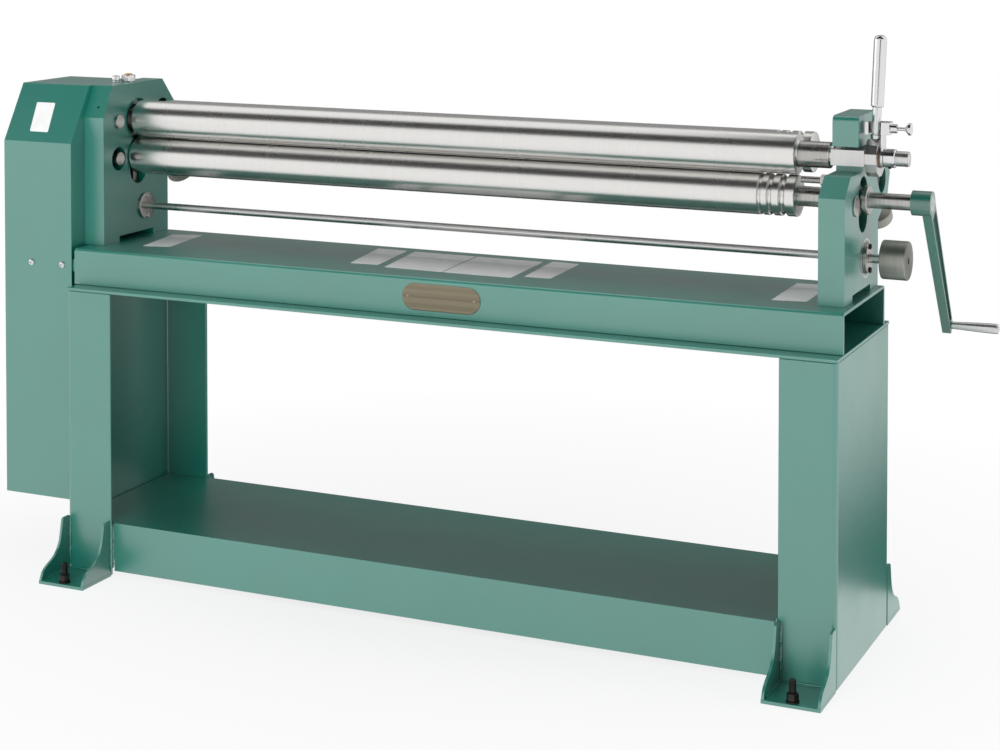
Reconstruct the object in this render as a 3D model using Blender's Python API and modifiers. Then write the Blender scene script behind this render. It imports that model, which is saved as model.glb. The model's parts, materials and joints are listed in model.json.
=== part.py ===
"""A hand-cranked slip roll for bending sheet metal, on its channel-leg stand.

Three long rolls run between two end frames.  The crank turns the lower roll, and four gears
under the cover at the left end turn the upper roll against it.  A cross rod with two
eccentrics lowers the lower roll for thicker sheet, two screws at the back raise the rear
roll to bend the sheet, and the upper roll swings out at the front of the right frame, so
that a finished tube slides off its end.

Metres, +Z up.  The machine runs along X with the crank at +X and its front at -Y.  The
origin is on the floor, under the middle of the whole machine.
"""

import math

import bmesh
import bpy
from mathutils import Matrix, Vector

MM = 0.001

# Clearances that many pieces share.
GAP = 0.3 * MM
OVERRUN = 4 * MM
SIDES = 24
SMALL_SIDES = 12
HEX_SIDES = 6
SHARP_FROM = math.radians(32)

# Rolls.
ROLL_LENGTH = 1406 * MM
ROLL_RADIUS = 37.5 * MM
NIP = 1.0 * MM
REAR_BACK = 102 * MM
REAR_DROP = 9 * MM
JOURNAL_RADIUS = 20 * MM
SHAFT_RADIUS = 14 * MM
LOWER_RIGHT_JOURNAL_RADIUS = 18 * MM
REAR_JOURNAL_RADIUS = 15 * MM
UPPER_NECK_RADIUS = 23.5 * MM
UPPER_SMALL_NECK_RADIUS = 18 * MM
UPPER_SPINDLE_RADIUS = 9 * MM
UPPER_SET_BACK = 6 * MM
UPPER_NECK_LENGTH = 59 * MM
WIRE_GROOVE_PLACES = (23 * MM, 46 * MM, 65 * MM)
WIRE_GROOVE_WIDTHS = (11 * MM, 9 * MM, 7 * MM)
ROLL_EDGE = 1.5 * MM

# Places of the roll axes and of the cross rod, across and up from the frames' feet.
ROLL_Y = 28 * MM
UPPER_ROLL_DROP = 74.6 * MM
ROD_BACK = 24 * MM
ROD_RISE_SHARE = 0.367863

# Widths along the machine, from the cover to the end of the crank's grip.
COVER_WIDTH = 163.4 * MM
FRAME_THICK = 47 * MM
LEFT_ROLL_GAP = 2.5 * MM
RIGHT_ROLL_GAP = 69.5 * MM
HUB_STANDOFF = 88.5 * MM
HUB_WIDTH = 35 * MM
GRIP_GAP = 0.5 * MM
GRIP_LENGTH = 85 * MM

# Stand: two channel legs, a top plate, a tray shelf and four feet.
LEG_HEIGHT = 558.2 * MM
LEG_LIFT = 1.5 * MM
LEG_HALF_DEPTH = 178 * MM
LEG_FLANGE = 103 * MM
LEG_SHEET = 6 * MM
LEG_BEND = 9 * MM
STAND_INSET_LEFT = 14.4 * MM
STAND_BEYOND_RIGHT = 11.6 * MM
STAND_PLATE_THICK = 6 * MM
SHELF_TOP = 106 * MM
SHELF_SHEET = 5 * MM
SHELF_APRON = 95.4 * MM
SHELF_SET_BACK = 2 * MM
SHELF_END_GAP = 6 * MM
FOOT_REACH = 96 * MM
FOOT_PLATE_THICK = 6 * MM
GUSSET_THICK = 5 * MM
GUSSET_HEIGHT = 110 * MM
GUSSET_CREST = 19 * MM
GUSSET_CURVE = ((23 * MM, 107 * MM), (25 * MM, 98 * MM), (27.5 * MM, 84 * MM),
                (31.5 * MM, 68 * MM), (38 * MM, 55 * MM), (47 * MM, 45 * MM), (58 * MM, 38 * MM),
                (70 * MM, 33 * MM), (80 * MM, 28 * MM), (88 * MM, 21 * MM), (93 * MM, 13 * MM),
                (95.5 * MM, 6 * MM))
FOOT_BOLT_SETBACK = 2 * MM
FOOT_BOLT_RADIUS = 6 * MM
FOOT_BOLT_HEIGHT = 45 * MM
FOOT_WASHER_RADIUS = 11.5 * MM
FOOT_WASHER_THICK = 2.5 * MM
FOOT_NUT_RADIUS = 10.6 * MM
FOOT_NUT_THICK = 13 * MM

# Bed: a folded channel, open below and at both ends.
BED_HALF_DEPTH = 142 * MM
BED_HEIGHT = 71.9 * MM
BED_SHEET = 6 * MM
BED_BEND = 8 * MM
BED_INSET_LEFT = 8 * MM
BED_BEYOND_RIGHT = 11.4 * MM
NAMEPLATE_LENGTH = 160 * MM
NAMEPLATE_HEIGHT = 50 * MM
NAMEPLATE_THICK = 1.2 * MM
NAMEPLATE_FROM_MIDDLE = 26 * MM
NAMEPLATE_SIDES = 40

# End frames.
FRAME_HEIGHT = 320.5 * MM
FRAME_FRONT = 123 * MM
FRAME_REAR = 108 * MM
FRAME_FRONT_CHAMFER_RUN = 32 * MM
FRAME_FRONT_CHAMFER_DROP = 63 * MM
FRAME_TOP_REAR = 90 * MM
BULGE_SHOULDER = (86 * MM, -27 * MM)
BULGE_NOSE = (92 * MM, -42 * MM)
BULGE_HEEL = (76 * MM, -78 * MM)
BULGE_ROOT_DROP = 118 * MM
PAD_WINDOW_FRONT = 69 * MM
PAD_WINDOW_REAR = 53 * MM
PAD_HEIGHT = 11.5 * MM
FRAME_BOLT_RADIUS = 5 * MM
FRAME_BOLT_HEAD_RADIUS = 9 * MM
FRAME_BOLT_HEAD = 7 * MM
FRAME_BOLT_DEPTH = 25 * MM
OIL_HOLE_RADIUS = 2.5 * MM
OIL_HOLE_DEPTH = 12 * MM
OIL_HOLE_INSET = 28 * MM
OIL_HOLE_SHARE = 1 / 3

# The right frame's open throat, measured from the upper roll's axis.
THROAT_FLOOR_DROP = 25.9 * MM
THROAT_STEP_DROP = 13.9 * MM
THROAT_STEP_FRONT = 8 * MM
THROAT_REAR = 24 * MM
THROAT_ROOF = 20.6 * MM
THROAT_CHAMFER_DROP = 33.7 * MM
THROAT_CHAMFER_RUN = 37 * MM
HEAD_FRONT = 34 * MM
HEAD_ROUND = 11 * MM

# Slots of the frames and the bearing blocks that slide in them.
LOWER_SLOT_HALF_WIDTH = 30 * MM
LOWER_SLOT_DOWN = 28.4 * MM
LOWER_SLOT_UP = 11.6 * MM
BLOCK_CLEARANCE = 0.3 * MM
BLOCK_THICK = 35 * MM
BLOCK_RECESS = 8 * MM
REAR_SLOT_HALF_WIDTH = 26.5 * MM
REAR_SLOT_TILT = math.radians(36)
REAR_SLOT_DOWN = 57 * MM
REAR_SLOT_UP = 21 * MM
REAR_BLOCK_DOWN = 45 * MM
REAR_SCREW_RADIUS = 8 * MM
REAR_SCREW_TOP = 28 * MM
REAR_KNOB_TOP = 140 * MM
REAR_KNOB_THICK = 22 * MM
REAR_KNOB_RADIUS = 29 * MM
REAR_KNOB_EDGE = 3 * MM
REAR_BORE_DEPTH = 130 * MM
PLUG_FRONT = 52 * MM
PLUG_DROP = 4.7 * MM
PLUG_RADIUS = 18.5 * MM
PLUG_THICK = 2.7 * MM
PLUG_STEM_RADIUS = 11 * MM
PLUG_STEM_LENGTH = 14 * MM
THRUST_RING_RADIUS = 26 * MM
THRUST_RING_WIDTH = 12 * MM
EDGE_STOP_FRONT = 63 * MM
EDGE_STOP_RISE = 39.1 * MM
EDGE_STOP_RADIUS = 6 * MM
EDGE_STOP_REACH = 48 * MM
EDGE_STOP_DEPTH = 28 * MM
EDGE_STOP_NUT_RADIUS = 10.9 * MM
EDGE_STOP_NUT_THICK = 11 * MM

# Lift gear under the lower roll: the cross rod, its eccentrics, flanges and knob.
ROD_RADIUS = 7.25 * MM
ROD_THIN_RADIUS = 5.5 * MM
ROD_KNOB_RADIUS = 8.3 * MM
ROD_CLEARANCE = 0.3 * MM
CAM_RADIUS = 11.5 * MM
CAM_THROW = 6.5 * MM
CAM_HALF_WIDTH = 10 * MM
CAM_BORE_CLEARANCE = 0.4 * MM
CAM_BORE_DEPTH = 36 * MM
FLANGE_RADIUS = 27.5 * MM
FLANGE_THICK = 6 * MM
FLANGE_SCREW_CIRCLE = 21 * MM
FLANGE_SCREW_RADIUS = 3.5 * MM
FLANGE_SCREW_SINK = 2 * MM
FLANGE_SCREWS = 2
STEM_RADIUS = 8 * MM
STEM_BACK = 16 * MM
STEM_FOOT_FRONT = 8 * MM
STEM_FOOT_REAR = 36 * MM
STEM_FOOT_THICK = 6 * MM
STEM_FOOT_HALF_WIDTH = 12 * MM
STEM_POCKET_ROOM = 2 * MM
STEM_POCKET_SIDE = 0.5 * MM
LIFT_TRAVEL = 6 * MM
LIFT_KNOB_RADIUS = 34.7 * MM
LIFT_KNOB_WIDTH = 46.4 * MM
LIFT_KNOB_STANDOFF = 30.2 * MM
LIFT_KNOB_EDGE = 1.6 * MM
LIFT_KNOB_FLOOR = 6 * MM

# Left end of the upper roll: the ball bush that lets the roll swing out.
BALL_RADIUS = 29 * MM
BALL_HALF_WIDTH = 15 * MM
BALL_RINGS = 8
COUNTERBORE_RADIUS = 42 * MM
COUNTERBORE_DEPTH = 9 * MM
LOCK_NUT_RADIUS = 15.6 * MM
LOCK_NUT_THICK = 14 * MM
SET_SCREW_RADIUS = 8 * MM
SET_SCREW_PROUD = 17 * MM
OIL_CAP_RADIUS = 8 * MM
OIL_CAP_HEIGHT = 14 * MM
OIL_CAP_STEM_RADIUS = 2.5 * MM
OIL_CAP_STEM = 10 * MM
OIL_CAP_INSET = 9.2 * MM
OIL_CAP_FORWARD = 24 * MM

# Right end of the upper roll: its block, cam lever, lock bracket and collar.
BLOCK_FRONT = 32 * MM
BLOCK_SEAT_GAP = 0.5 * MM
BLOCK_TOP = 14.6 * MM
BLOCK_INNER_OVERHANG = 3.5 * MM
BLOCK_OUTER_OVERHANG = 9.5 * MM
SPIGOT_RADIUS = 13.5 * MM
SPIGOT_LENGTH = 72.5 * MM
CAM_RING_RADIUS = 34 * MM
CAM_RING_WIDTH = 21 * MM
CAM_RING_SIDES = 12
CAM_RING_GAP = 0.5 * MM
LEVER_LEAN = math.radians(2.5)
LEVER_NUT_BOTTOM = 33.7 * MM
LEVER_NUT_TOP = 41 * MM
LEVER_NUT_RADIUS = 9.5 * MM
LEVER_STEM_RADIUS = 8 * MM
LEVER_GRIP_BOTTOM = 90.6 * MM
LEVER_GRIP_RADIUS = 11.3 * MM
LEVER_LENGTH = 216.8 * MM
LEVER_ROOT = 18 * MM
LEVER_ROOT_RADIUS = 5 * MM
LEVER_DOME = 9 * MM
BRASS_RADIUS = 18 * MM
BRASS_THICK = 2.5 * MM
BRACKET_PLATE_THICK = 4 * MM
BRACKET_HALF_WIDTH = 12 * MM
BRACKET_EYE_WALL = 4 * MM
BRACKET_LOW = 41.6 * MM
BRACKET_HIGH = 63.6 * MM
BRACKET_WEB_FRONT = 10.5 * MM
BRACKET_WEB_THICK = 6 * MM
BRACKET_CHEEK_FRONT = 13 * MM
BRACKET_INNER_CHEEK = 7 * MM
BRACKET_OUTER_CHEEK = 15 * MM
BRACKET_MOUTH = 22.1 * MM
BRACKET_BOSS_RADIUS = 8 * MM
BRACKET_BOSS = 12 * MM
THUMB_SHAFT_RADIUS = 3 * MM
THUMB_HEAD_RADIUS = 10.7 * MM
THUMB_HEAD_THICK = 5 * MM
THUMB_HEAD_CONE = 8 * MM
THUMB_HEAD_GAP = 19.5 * MM
THUMB_TIP = 2.8 * MM
COLLAR_RADIUS = 16.5 * MM
COLLAR_WIDTH = 20.6 * MM
ROLL_CENTRE_HOLE_RADIUS = 3 * MM
ROLL_CENTRE_HOLE_DEPTH = 6 * MM

# Crank.
CRANK_THROW = 290.5 * MM
CRANK_ANGLE = math.radians(33.3)
CRANK_HUB_RADIUS = 22 * MM
CRANK_ARM_THICK = 16 * MM
CRANK_ROOT_HALF_WIDTH = 19 * MM
CRANK_TIP_HALF_WIDTH = 10.5 * MM
CRANK_TIP_BEYOND = 11 * MM
CRANK_RECESS = 5 * MM
CRANK_RIM = 4 * MM
CRANK_SPINDLE_RADIUS = 4.5 * MM
CRANK_BORE_WALL = 4 * MM
GRIP_ROOT_RADIUS = 6.5 * MM
GRIP_TIP_RADIUS = 9 * MM
GRIP_SWELL_SHARE = 0.75
GRIP_FLOOR = 8 * MM

# Gears under the cover.
ROLL_GEAR_TEETH = 16
IDLER_TEETH = 19
GEAR_WIDTH = 14 * MM
GEAR_STANDOFF = 13 * MM
GEAR_SHOULDER = 1 * MM
GEAR_BACKLASH = 0.25 * MM
GEAR_ADDENDUM_SHARE = 0.9
GEAR_DEDENDUM_SHARE = 1.2
PRESSURE_ANGLE = math.radians(20)
FLANK_STEPS = 4
IDLER_PIN_RADIUS = 14 * MM
IDLER_PIN_PROUD = 5 * MM
IDLER_HOLE_ROOM = 10 * MM
SHAFT_PAST_GEAR = 6 * MM
LINK_THICK = 8 * MM
LINK_HALF_HEIGHT = 20 * MM
LINK_PAST_SHAFT = 28 * MM
LINK_PAST_PIN = 20 * MM
LINK_NECK_WALL = 5 * MM

# Gear cover.
COVER_FRONT = 140.2 * MM
COVER_REAR = 150 * MM
COVER_TOP_FRONT = 76 * MM
COVER_TOP_REAR = 86 * MM
COVER_CREASE_DROP = 112 * MM
COVER_BOTTOM = 127.7 * MM
COVER_SHEET = 2.5 * MM
COVER_WINDOW_FRONT = 70 * MM
COVER_WINDOW_REAR = 110 * MM
COVER_WINDOW_TOP_DROP = 25 * MM
COVER_WINDOW_BOTTOM = 575 * MM
STRIP_THICK = 5 * MM
STRIP_LOW = 23.7 * MM
STRIP_HEIGHT = 25 * MM
STRIP_IN_COVER = 140 * MM
STRIP_IN_BED = 50 * MM
STRIP_SLOT_ROOM = 2 * MM
COVER_SCREW_RADIUS = 3 * MM
COVER_SCREW_HEAD_RADIUS = 6.5 * MM
COVER_SCREW_HEAD = 3 * MM
COVER_SCREW_OUTER = 66 * MM
COVER_SCREW_INNER = 141 * MM

# Places along the machine, worked out from its left end.
TOTAL_LENGTH = (COVER_WIDTH + GAP + FRAME_THICK + LEFT_ROLL_GAP + ROLL_LENGTH + RIGHT_ROLL_GAP
                + FRAME_THICK + HUB_STANDOFF + HUB_WIDTH + GRIP_GAP + GRIP_LENGTH)
COVER_LEFT = -TOTAL_LENGTH / 2
COVER_RIGHT = COVER_LEFT + COVER_WIDTH
LEFT_OUT = COVER_RIGHT + GAP
LEFT_IN = LEFT_OUT + FRAME_THICK
LEFT_MID = (LEFT_OUT + LEFT_IN) / 2
ROLL_LEFT = LEFT_IN + LEFT_ROLL_GAP
ROLL_RIGHT = ROLL_LEFT + ROLL_LENGTH
RIGHT_IN = ROLL_RIGHT + RIGHT_ROLL_GAP
RIGHT_OUT = RIGHT_IN + FRAME_THICK
RIGHT_MID = (RIGHT_IN + RIGHT_OUT) / 2
HUB_IN = RIGHT_OUT + HUB_STANDOFF
HUB_OUT = HUB_IN + HUB_WIDTH
GRIP_IN = HUB_OUT + GRIP_GAP
GEAR_RIGHT = LEFT_OUT - GEAR_STANDOFF
GEAR_LEFT = GEAR_RIGHT - GEAR_WIDTH
SHAFT_LEFT = GEAR_LEFT - SHAFT_PAST_GEAR
STAND_LEFT = LEFT_OUT + STAND_INSET_LEFT
STAND_RIGHT = RIGHT_OUT + STAND_BEYOND_RIGHT
STAND_MID = (STAND_LEFT + STAND_RIGHT) / 2
BED_LEFT = LEFT_OUT + BED_INSET_LEFT
BED_RIGHT = RIGHT_OUT + BED_BEYOND_RIGHT

# Heights, from the floor up.
LEG_TOP = LEG_LIFT + LEG_HEIGHT
PLATE_BOTTOM = LEG_TOP + GAP
PLATE_TOP = PLATE_BOTTOM + STAND_PLATE_THICK
BED_BOTTOM = PLATE_TOP + GAP
BED_TOP = BED_BOTTOM + BED_HEIGHT
FRAME_BOTTOM = BED_TOP + GAP
FRAME_TOP = FRAME_BOTTOM + FRAME_HEIGHT
UPPER_Z = FRAME_TOP - UPPER_ROLL_DROP
LOWER_Z = UPPER_Z - 2 * ROLL_RADIUS - NIP
REAR_Y = ROLL_Y + REAR_BACK
REAR_Z = UPPER_Z - REAR_DROP
ROD_Y = ROLL_Y + ROD_BACK
ROD_Z = FRAME_BOTTOM + (LOWER_Z - FRAME_BOTTOM) * ROD_RISE_SHARE
REAR_UP = Vector((0, -math.sin(REAR_SLOT_TILT), math.cos(REAR_SLOT_TILT)))
REAR_AXIS = Vector((0, REAR_Y, REAR_Z))

# The gear train: equal roll gears joined by two equal idlers.
MODULE = (UPPER_Z - LOWER_Z) / IDLER_TEETH
GEAR_CENTRES = MODULE * (ROLL_GEAR_TEETH + IDLER_TEETH) / 2
IDLER_Y = ROLL_Y - GEAR_CENTRES

PARTS = bpy.data.collections.new("slip_roll")
CUTTERS = bpy.data.collections.new("cutters")


def clear_scene():
    """Removes what the scene holds, and adds the collections for parts and cutters."""
    for obj in list(bpy.data.objects):
        bpy.data.objects.remove(obj, do_unlink=True)
    bpy.context.scene.collection.children.link(PARTS)
    bpy.context.scene.collection.children.link(CUTTERS)
    CUTTERS.hide_render = True


def finish_material(name, color, roughness, metallic):
    """A Principled material with one colour."""
    material = bpy.data.materials.new(name)
    material.use_nodes = True
    shader = material.node_tree.nodes["Principled BSDF"]
    shader.inputs["Base Color"].default_value = (*color, 1)
    shader.inputs["Roughness"].default_value = roughness
    shader.inputs["Metallic"].default_value = metallic
    return material


PAINT = ((0.16, 0.36, 0.32), 0.45, 0.0)
STEEL = ((0.55, 0.55, 0.53), 0.35, 1.0)
CHROME = ((0.75, 0.75, 0.75), 0.15, 1.0)
DARK_STEEL = ((0.12, 0.12, 0.12), 0.45, 0.8)
BRASS = ((0.75, 0.55, 0.22), 0.3, 1.0)
KNOB_METAL = ((0.45, 0.45, 0.42), 0.4, 1.0)


def mesh_object(name, mesh, location=(0, 0, 0), rotation=None, collection=None):
    """An object of the part, or of another collection, at its place."""
    obj = bpy.data.objects.new(name, mesh)
    obj.location = location
    if rotation is not None:
        obj.rotation_euler = rotation.to_euler()
    (collection or PARTS).objects.link(obj)
    return obj


def from_bmesh(name, shape, location=(0, 0, 0), rotation=None):
    """An object whose mesh is the given bmesh."""
    mesh = bpy.data.meshes.new(name)
    shape.to_mesh(mesh)
    shape.free()
    return mesh_object(name, mesh, location, rotation)


def box(name, low, high):
    """A box between two corners, with its origin at its middle."""
    low, high = Vector(low), Vector(high)
    shape = bmesh.new()
    bmesh.ops.create_cube(shape, size=1)
    bmesh.ops.scale(shape, vec=high - low, verts=shape.verts)
    return from_bmesh(name, shape, (low + high) / 2)


def turn_to(direction):
    """The rotation that takes +Z to a direction."""
    return Vector((0, 0, 1)).rotation_difference(Vector(direction))


def rod(name, radius, start, end, sides=SIDES):
    """A round or many-sided bar between two points."""
    start, end = Vector(start), Vector(end)
    shape = bmesh.new()
    bmesh.ops.create_cone(
        shape, cap_ends=True, segments=sides, radius1=radius, radius2=radius,
        depth=(end - start).length)
    return from_bmesh(name, shape, (start + end) / 2, turn_to(end - start))


def turned(name, profile, origin, direction=(1, 0, 0), sides=SIDES, ring=False):
    """A turned piece: (distance along, radius) pairs from its far end back to its near end.

    A ring's profile closes on itself, with its bore after its outer side.
    """
    mesh = bpy.data.meshes.new(name)
    points = [(radius, 0, along) for along, radius in profile]
    edges = [(n, n + 1) for n in range(len(points) - 1)]
    if ring:
        edges.append((len(points) - 1, 0))
    mesh.from_pydata(points, edges, [])
    obj = mesh_object(name, mesh, origin, turn_to(direction))
    screw = obj.modifiers.new("turn", "SCREW")
    screw.steps = sides
    screw.render_steps = sides
    screw.use_merge_vertices = True
    screw.merge_threshold = MM / 1000
    screw.use_smooth_shade = False
    return obj


def plate(name, outline, thick, origin, across=(0, 1, 0), up=(0, 0, 1), holes=()):
    """A flat piece cut to an outline: its first axis runs across, its second up."""
    curve = bpy.data.curves.new(name, "CURVE")
    curve.dimensions = "2D"
    curve.fill_mode = "BOTH"
    curve.extrude = thick / 2
    for ring in (outline, *holes):
        spline = curve.splines.new("POLY")
        spline.points.add(len(ring) - 1)
        for point, (a, b) in zip(spline.points, ring):
            point.co = (a, b, 0, 1)
        spline.use_cyclic_u = True
    across, up = Vector(across), Vector(up)
    turn = Matrix((across, up, across.cross(up))).transposed()
    drawn = mesh_object(name + "_outline", curve, origin, turn)
    bpy.context.view_layer.update()
    graph = bpy.context.evaluated_depsgraph_get()
    mesh = bpy.data.meshes.new_from_object(drawn.evaluated_get(graph))
    place = drawn.matrix_world.copy()
    bpy.data.objects.remove(drawn, do_unlink=True)
    shape = bmesh.new()
    shape.from_mesh(mesh)
    bmesh.ops.remove_doubles(shape, verts=shape.verts, dist=MM / 1000)
    bmesh.ops.recalc_face_normals(shape, faces=shape.faces)
    shape.to_mesh(mesh)
    shape.free()
    obj = mesh_object(name, mesh)
    obj.matrix_world = place
    return obj


def combine(obj, tool, operation):
    """Keeps a Boolean with a tool piece, which moves to the cutters."""
    tool.name = "tool_" + tool.name
    tool.display_type = "WIRE"
    tool.hide_render = True
    PARTS.objects.unlink(tool)
    CUTTERS.objects.link(tool)
    change = obj.modifiers.new(tool.name, "BOOLEAN")
    change.operation = operation
    change.solver = "EXACT"
    change.object = tool


def cut(obj, *tools):
    """Takes the tools away from a piece."""
    for tool in tools:
        combine(obj, tool, "DIFFERENCE")
    return obj


def join(obj, *tools):
    """Adds the tools to a piece, as one body."""
    for tool in tools:
        combine(obj, tool, "UNION")
    return obj


def along_x(x_from, x_to, y, z):
    """The two ends of a bar or a bore that runs along the machine."""
    return (x_from, y, z), (x_to, y, z)


def arc(centre, radius, start, end, steps):
    """Points along an arc, angles in degrees from the first axis."""
    angles = [math.radians(start + (end - start) * n / steps) for n in range(steps + 1)]
    return [(centre[0] + radius * math.cos(a), centre[1] + radius * math.sin(a)) for a in angles]


def dress(obj, look):
    """Gives a piece its own material, and sharp edges between smooth faces."""
    obj.data.materials.clear()
    obj.data.materials.append(finish_material(obj.name, *look))
    obj.data.shade_smooth()
    obj.data.set_sharp_from_angle(angle=SHARP_FROM)
    return obj


def slot_outline(half_width, down, up, steps=SIDES // 2):
    """A slot with round ends, about its own origin, along the second axis."""
    return (arc((0, up), half_width, 0, 180, steps)
            + arc((0, -down), half_width, 180, 360, steps))


def channel_outline(half_width, depth, sheet, bend, steps=4):
    """The section of a bent channel that opens upward along the second axis."""
    inner = bend - sheet
    outside = (arc((-half_width + bend, bend), bend, 180, 270, steps)
               + arc((half_width - bend, bend), bend, 270, 360, steps))
    inside = (arc((half_width - bend, bend), inner, 360, 270, steps)
              + arc((-half_width + bend, bend), inner, 270, 180, steps))
    return (outside + [(half_width, depth), (half_width - sheet, depth)] + inside
            + [(-half_width + sheet, depth), (-half_width, depth)])


def build_leg(name, side):
    """A leg: a channel on end, open to the middle of the stand. side is -1 left, 1 right."""
    outer = STAND_LEFT if side < 0 else STAND_RIGHT
    outline = channel_outline(LEG_HALF_DEPTH, LEG_FLANGE, LEG_SHEET, LEG_BEND)
    middle = (LEG_TOP + LEG_LIFT) / 2
    leg = plate(name, outline, LEG_HEIGHT, (outer, 0, middle), (0, 1, 0), (-side, 0, 0))
    return dress(leg, PAINT)


def gusset_outline():
    """A foot's gusset: (distance out from the leg's face, height), with its curved front."""
    bottom = FOOT_PLATE_THICK / 2
    far = FOOT_REACH - GAP
    return [(2 * GAP, bottom), (far, bottom), *reversed(GUSSET_CURVE),
            (GUSSET_CREST, GUSSET_HEIGHT), (2 * GAP, GUSSET_HEIGHT)]


def build_foot(end, side, depth_side):
    """A foot welded before or behind a leg: base plate and two gussets, as one piece.

    Each gusset stands a hair inside the edges of the plate that it is welded to.
    """
    name = f"foot_{end}"
    outer = STAND_LEFT if side < 0 else STAND_RIGHT
    inner = outer - side * LEG_FLANGE
    face = depth_side * LEG_HALF_DEPTH
    far = face + depth_side * FOOT_REACH
    near = face + depth_side * GAP
    foot = box(name, (min(outer, inner), min(near, far), 0),
               (max(outer, inner), max(near, far), FOOT_PLATE_THICK))
    for place, edge in (("outside", outer - side * GAP),
                        ("inside", inner + side * (GAP + GUSSET_THICK))):
        join(foot, plate(f"{name}_{place}_web", gusset_outline(), GUSSET_THICK,
                         (edge - side * GUSSET_THICK / 2, face, 0), (0, depth_side, 0)))
    bolt_x, bolt_y = foot_bolt_place(side, depth_side)
    bore = rod(name + "_bore", FOOT_BOLT_RADIUS + GAP, (bolt_x, bolt_y, -OVERRUN),
               (bolt_x, bolt_y, FOOT_PLATE_THICK + OVERRUN), SMALL_SIDES)
    return dress(cut(foot, bore), PAINT)


def foot_bolt_place(side, depth_side):
    """Where a foot's anchor bolt stands."""
    outer = STAND_LEFT if side < 0 else STAND_RIGHT
    return (outer - side * LEG_FLANGE / 2,
            depth_side * (LEG_HALF_DEPTH + FOOT_REACH - FOOT_BOLT_SETBACK - FOOT_WASHER_RADIUS))


def build_foot_bolt(end, side, depth_side):
    """A foot's anchor bolt: stud, washer and nut."""
    name = f"foot_bolt_{end}"
    x, y = foot_bolt_place(side, depth_side)
    washer_bottom = FOOT_PLATE_THICK + GAP
    washer_top = washer_bottom + FOOT_WASHER_THICK
    nut_top = washer_top + FOOT_NUT_THICK
    stud = rod(name, FOOT_BOLT_RADIUS, (x, y, GAP), (x, y, FOOT_BOLT_HEIGHT), SMALL_SIDES)
    washer = rod(name + "_washer", FOOT_WASHER_RADIUS, (x, y, washer_bottom),
                 (x, y, washer_top), SMALL_SIDES)
    nut = rod(name + "_nut", FOOT_NUT_RADIUS, (x, y, washer_top - GAP), (x, y, nut_top), HEX_SIDES)
    return dress(join(stud, washer, nut), DARK_STEEL)


def build_stand():
    """Legs, feet and their bolts, the top plate and the tray shelf."""
    build_leg("left_leg", -1)
    build_leg("right_leg", 1)
    for end, side in (("left", -1), ("right", 1)):
        for depth_name, depth_side in (("front", -1), ("back", 1)):
            build_foot(f"{depth_name}_{end}", side, depth_side)
            build_foot_bolt(f"{depth_name}_{end}", side, depth_side)
    dress(box("stand_top", (STAND_LEFT, -LEG_HALF_DEPTH, PLATE_BOTTOM),
              (STAND_RIGHT, LEG_HALF_DEPTH, PLATE_TOP)), PAINT)
    build_shelf()


def build_shelf():
    """The tray between the legs: a plate with a folded apron at its front and back."""
    inside = LEG_SHEET + GAP
    half_plate = LEG_HALF_DEPTH - inside
    half_tray = LEG_HALF_DEPTH - SHELF_SET_BACK
    flange_inner_left = STAND_LEFT + LEG_FLANGE + SHELF_END_GAP
    flange_inner_right = STAND_RIGHT - LEG_FLANGE - SHELF_END_GAP
    bottom = SHELF_TOP - SHELF_SHEET
    end_gap = LEG_BEND + GAP
    shelf = box("bottom_shelf", (STAND_LEFT + end_gap, -half_plate, bottom),
                (STAND_RIGHT - end_gap, half_plate, SHELF_TOP))
    tray = box("shelf_tray", (flange_inner_left, -half_tray, SHELF_TOP - SHELF_APRON),
               (flange_inner_right, half_tray, SHELF_TOP))
    hollow = box("shelf_hollow",
                 (flange_inner_left - OVERRUN, -half_tray + SHELF_SHEET,
                  SHELF_TOP - SHELF_APRON - OVERRUN),
                 (flange_inner_right + OVERRUN, half_tray - SHELF_SHEET, bottom))
    join(shelf, cut(tray, hollow))
    return dress(shelf, PAINT)


def build_bed():
    """The folded bed between stand and frames, and the blank plate on its front."""
    outline = [(y, -z) for y, z in
               channel_outline(BED_HALF_DEPTH, BED_HEIGHT, BED_SHEET, BED_BEND)]
    bed = plate("bed", outline, BED_RIGHT - BED_LEFT,
                ((BED_LEFT + BED_RIGHT) / 2, 0, BED_TOP))
    for x, y in frame_bolt_places().values():
        cut(bed, rod("bed_bore", FRAME_BOLT_RADIUS + GAP, (x, y, BED_TOP - BED_SHEET - OVERRUN),
                     (x, y, BED_TOP + OVERRUN), SMALL_SIDES))
    dress(bed, PAINT)
    middle = (BED_TOP + BED_BOTTOM) / 2
    back = -BED_HALF_DEPTH - GAP
    oval = [(NAMEPLATE_LENGTH / 2 * math.cos(a), NAMEPLATE_HEIGHT / 2 * math.sin(a))
            for a in (math.tau * n / NAMEPLATE_SIDES for n in range(NAMEPLATE_SIDES))]
    dress(plate("nameplate", oval, NAMEPLATE_THICK,
                (STAND_MID + NAMEPLATE_FROM_MIDDLE, back - NAMEPLATE_THICK / 2, middle),
                (1, 0, 0), (0, 0, 1)), STEEL)


def frame_bolt_places():
    """Where the bolts that hold the frames to the bed stand, by name."""
    front = ROLL_Y - (FRAME_FRONT + PAD_WINDOW_FRONT) / 2
    rear = ROLL_Y + (FRAME_REAR + PAD_WINDOW_REAR) / 2
    return {"front_left": (LEFT_MID, front), "back_left": (LEFT_MID, rear),
            "front_right": (RIGHT_MID, front), "back_right": (RIGHT_MID, rear)}


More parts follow.
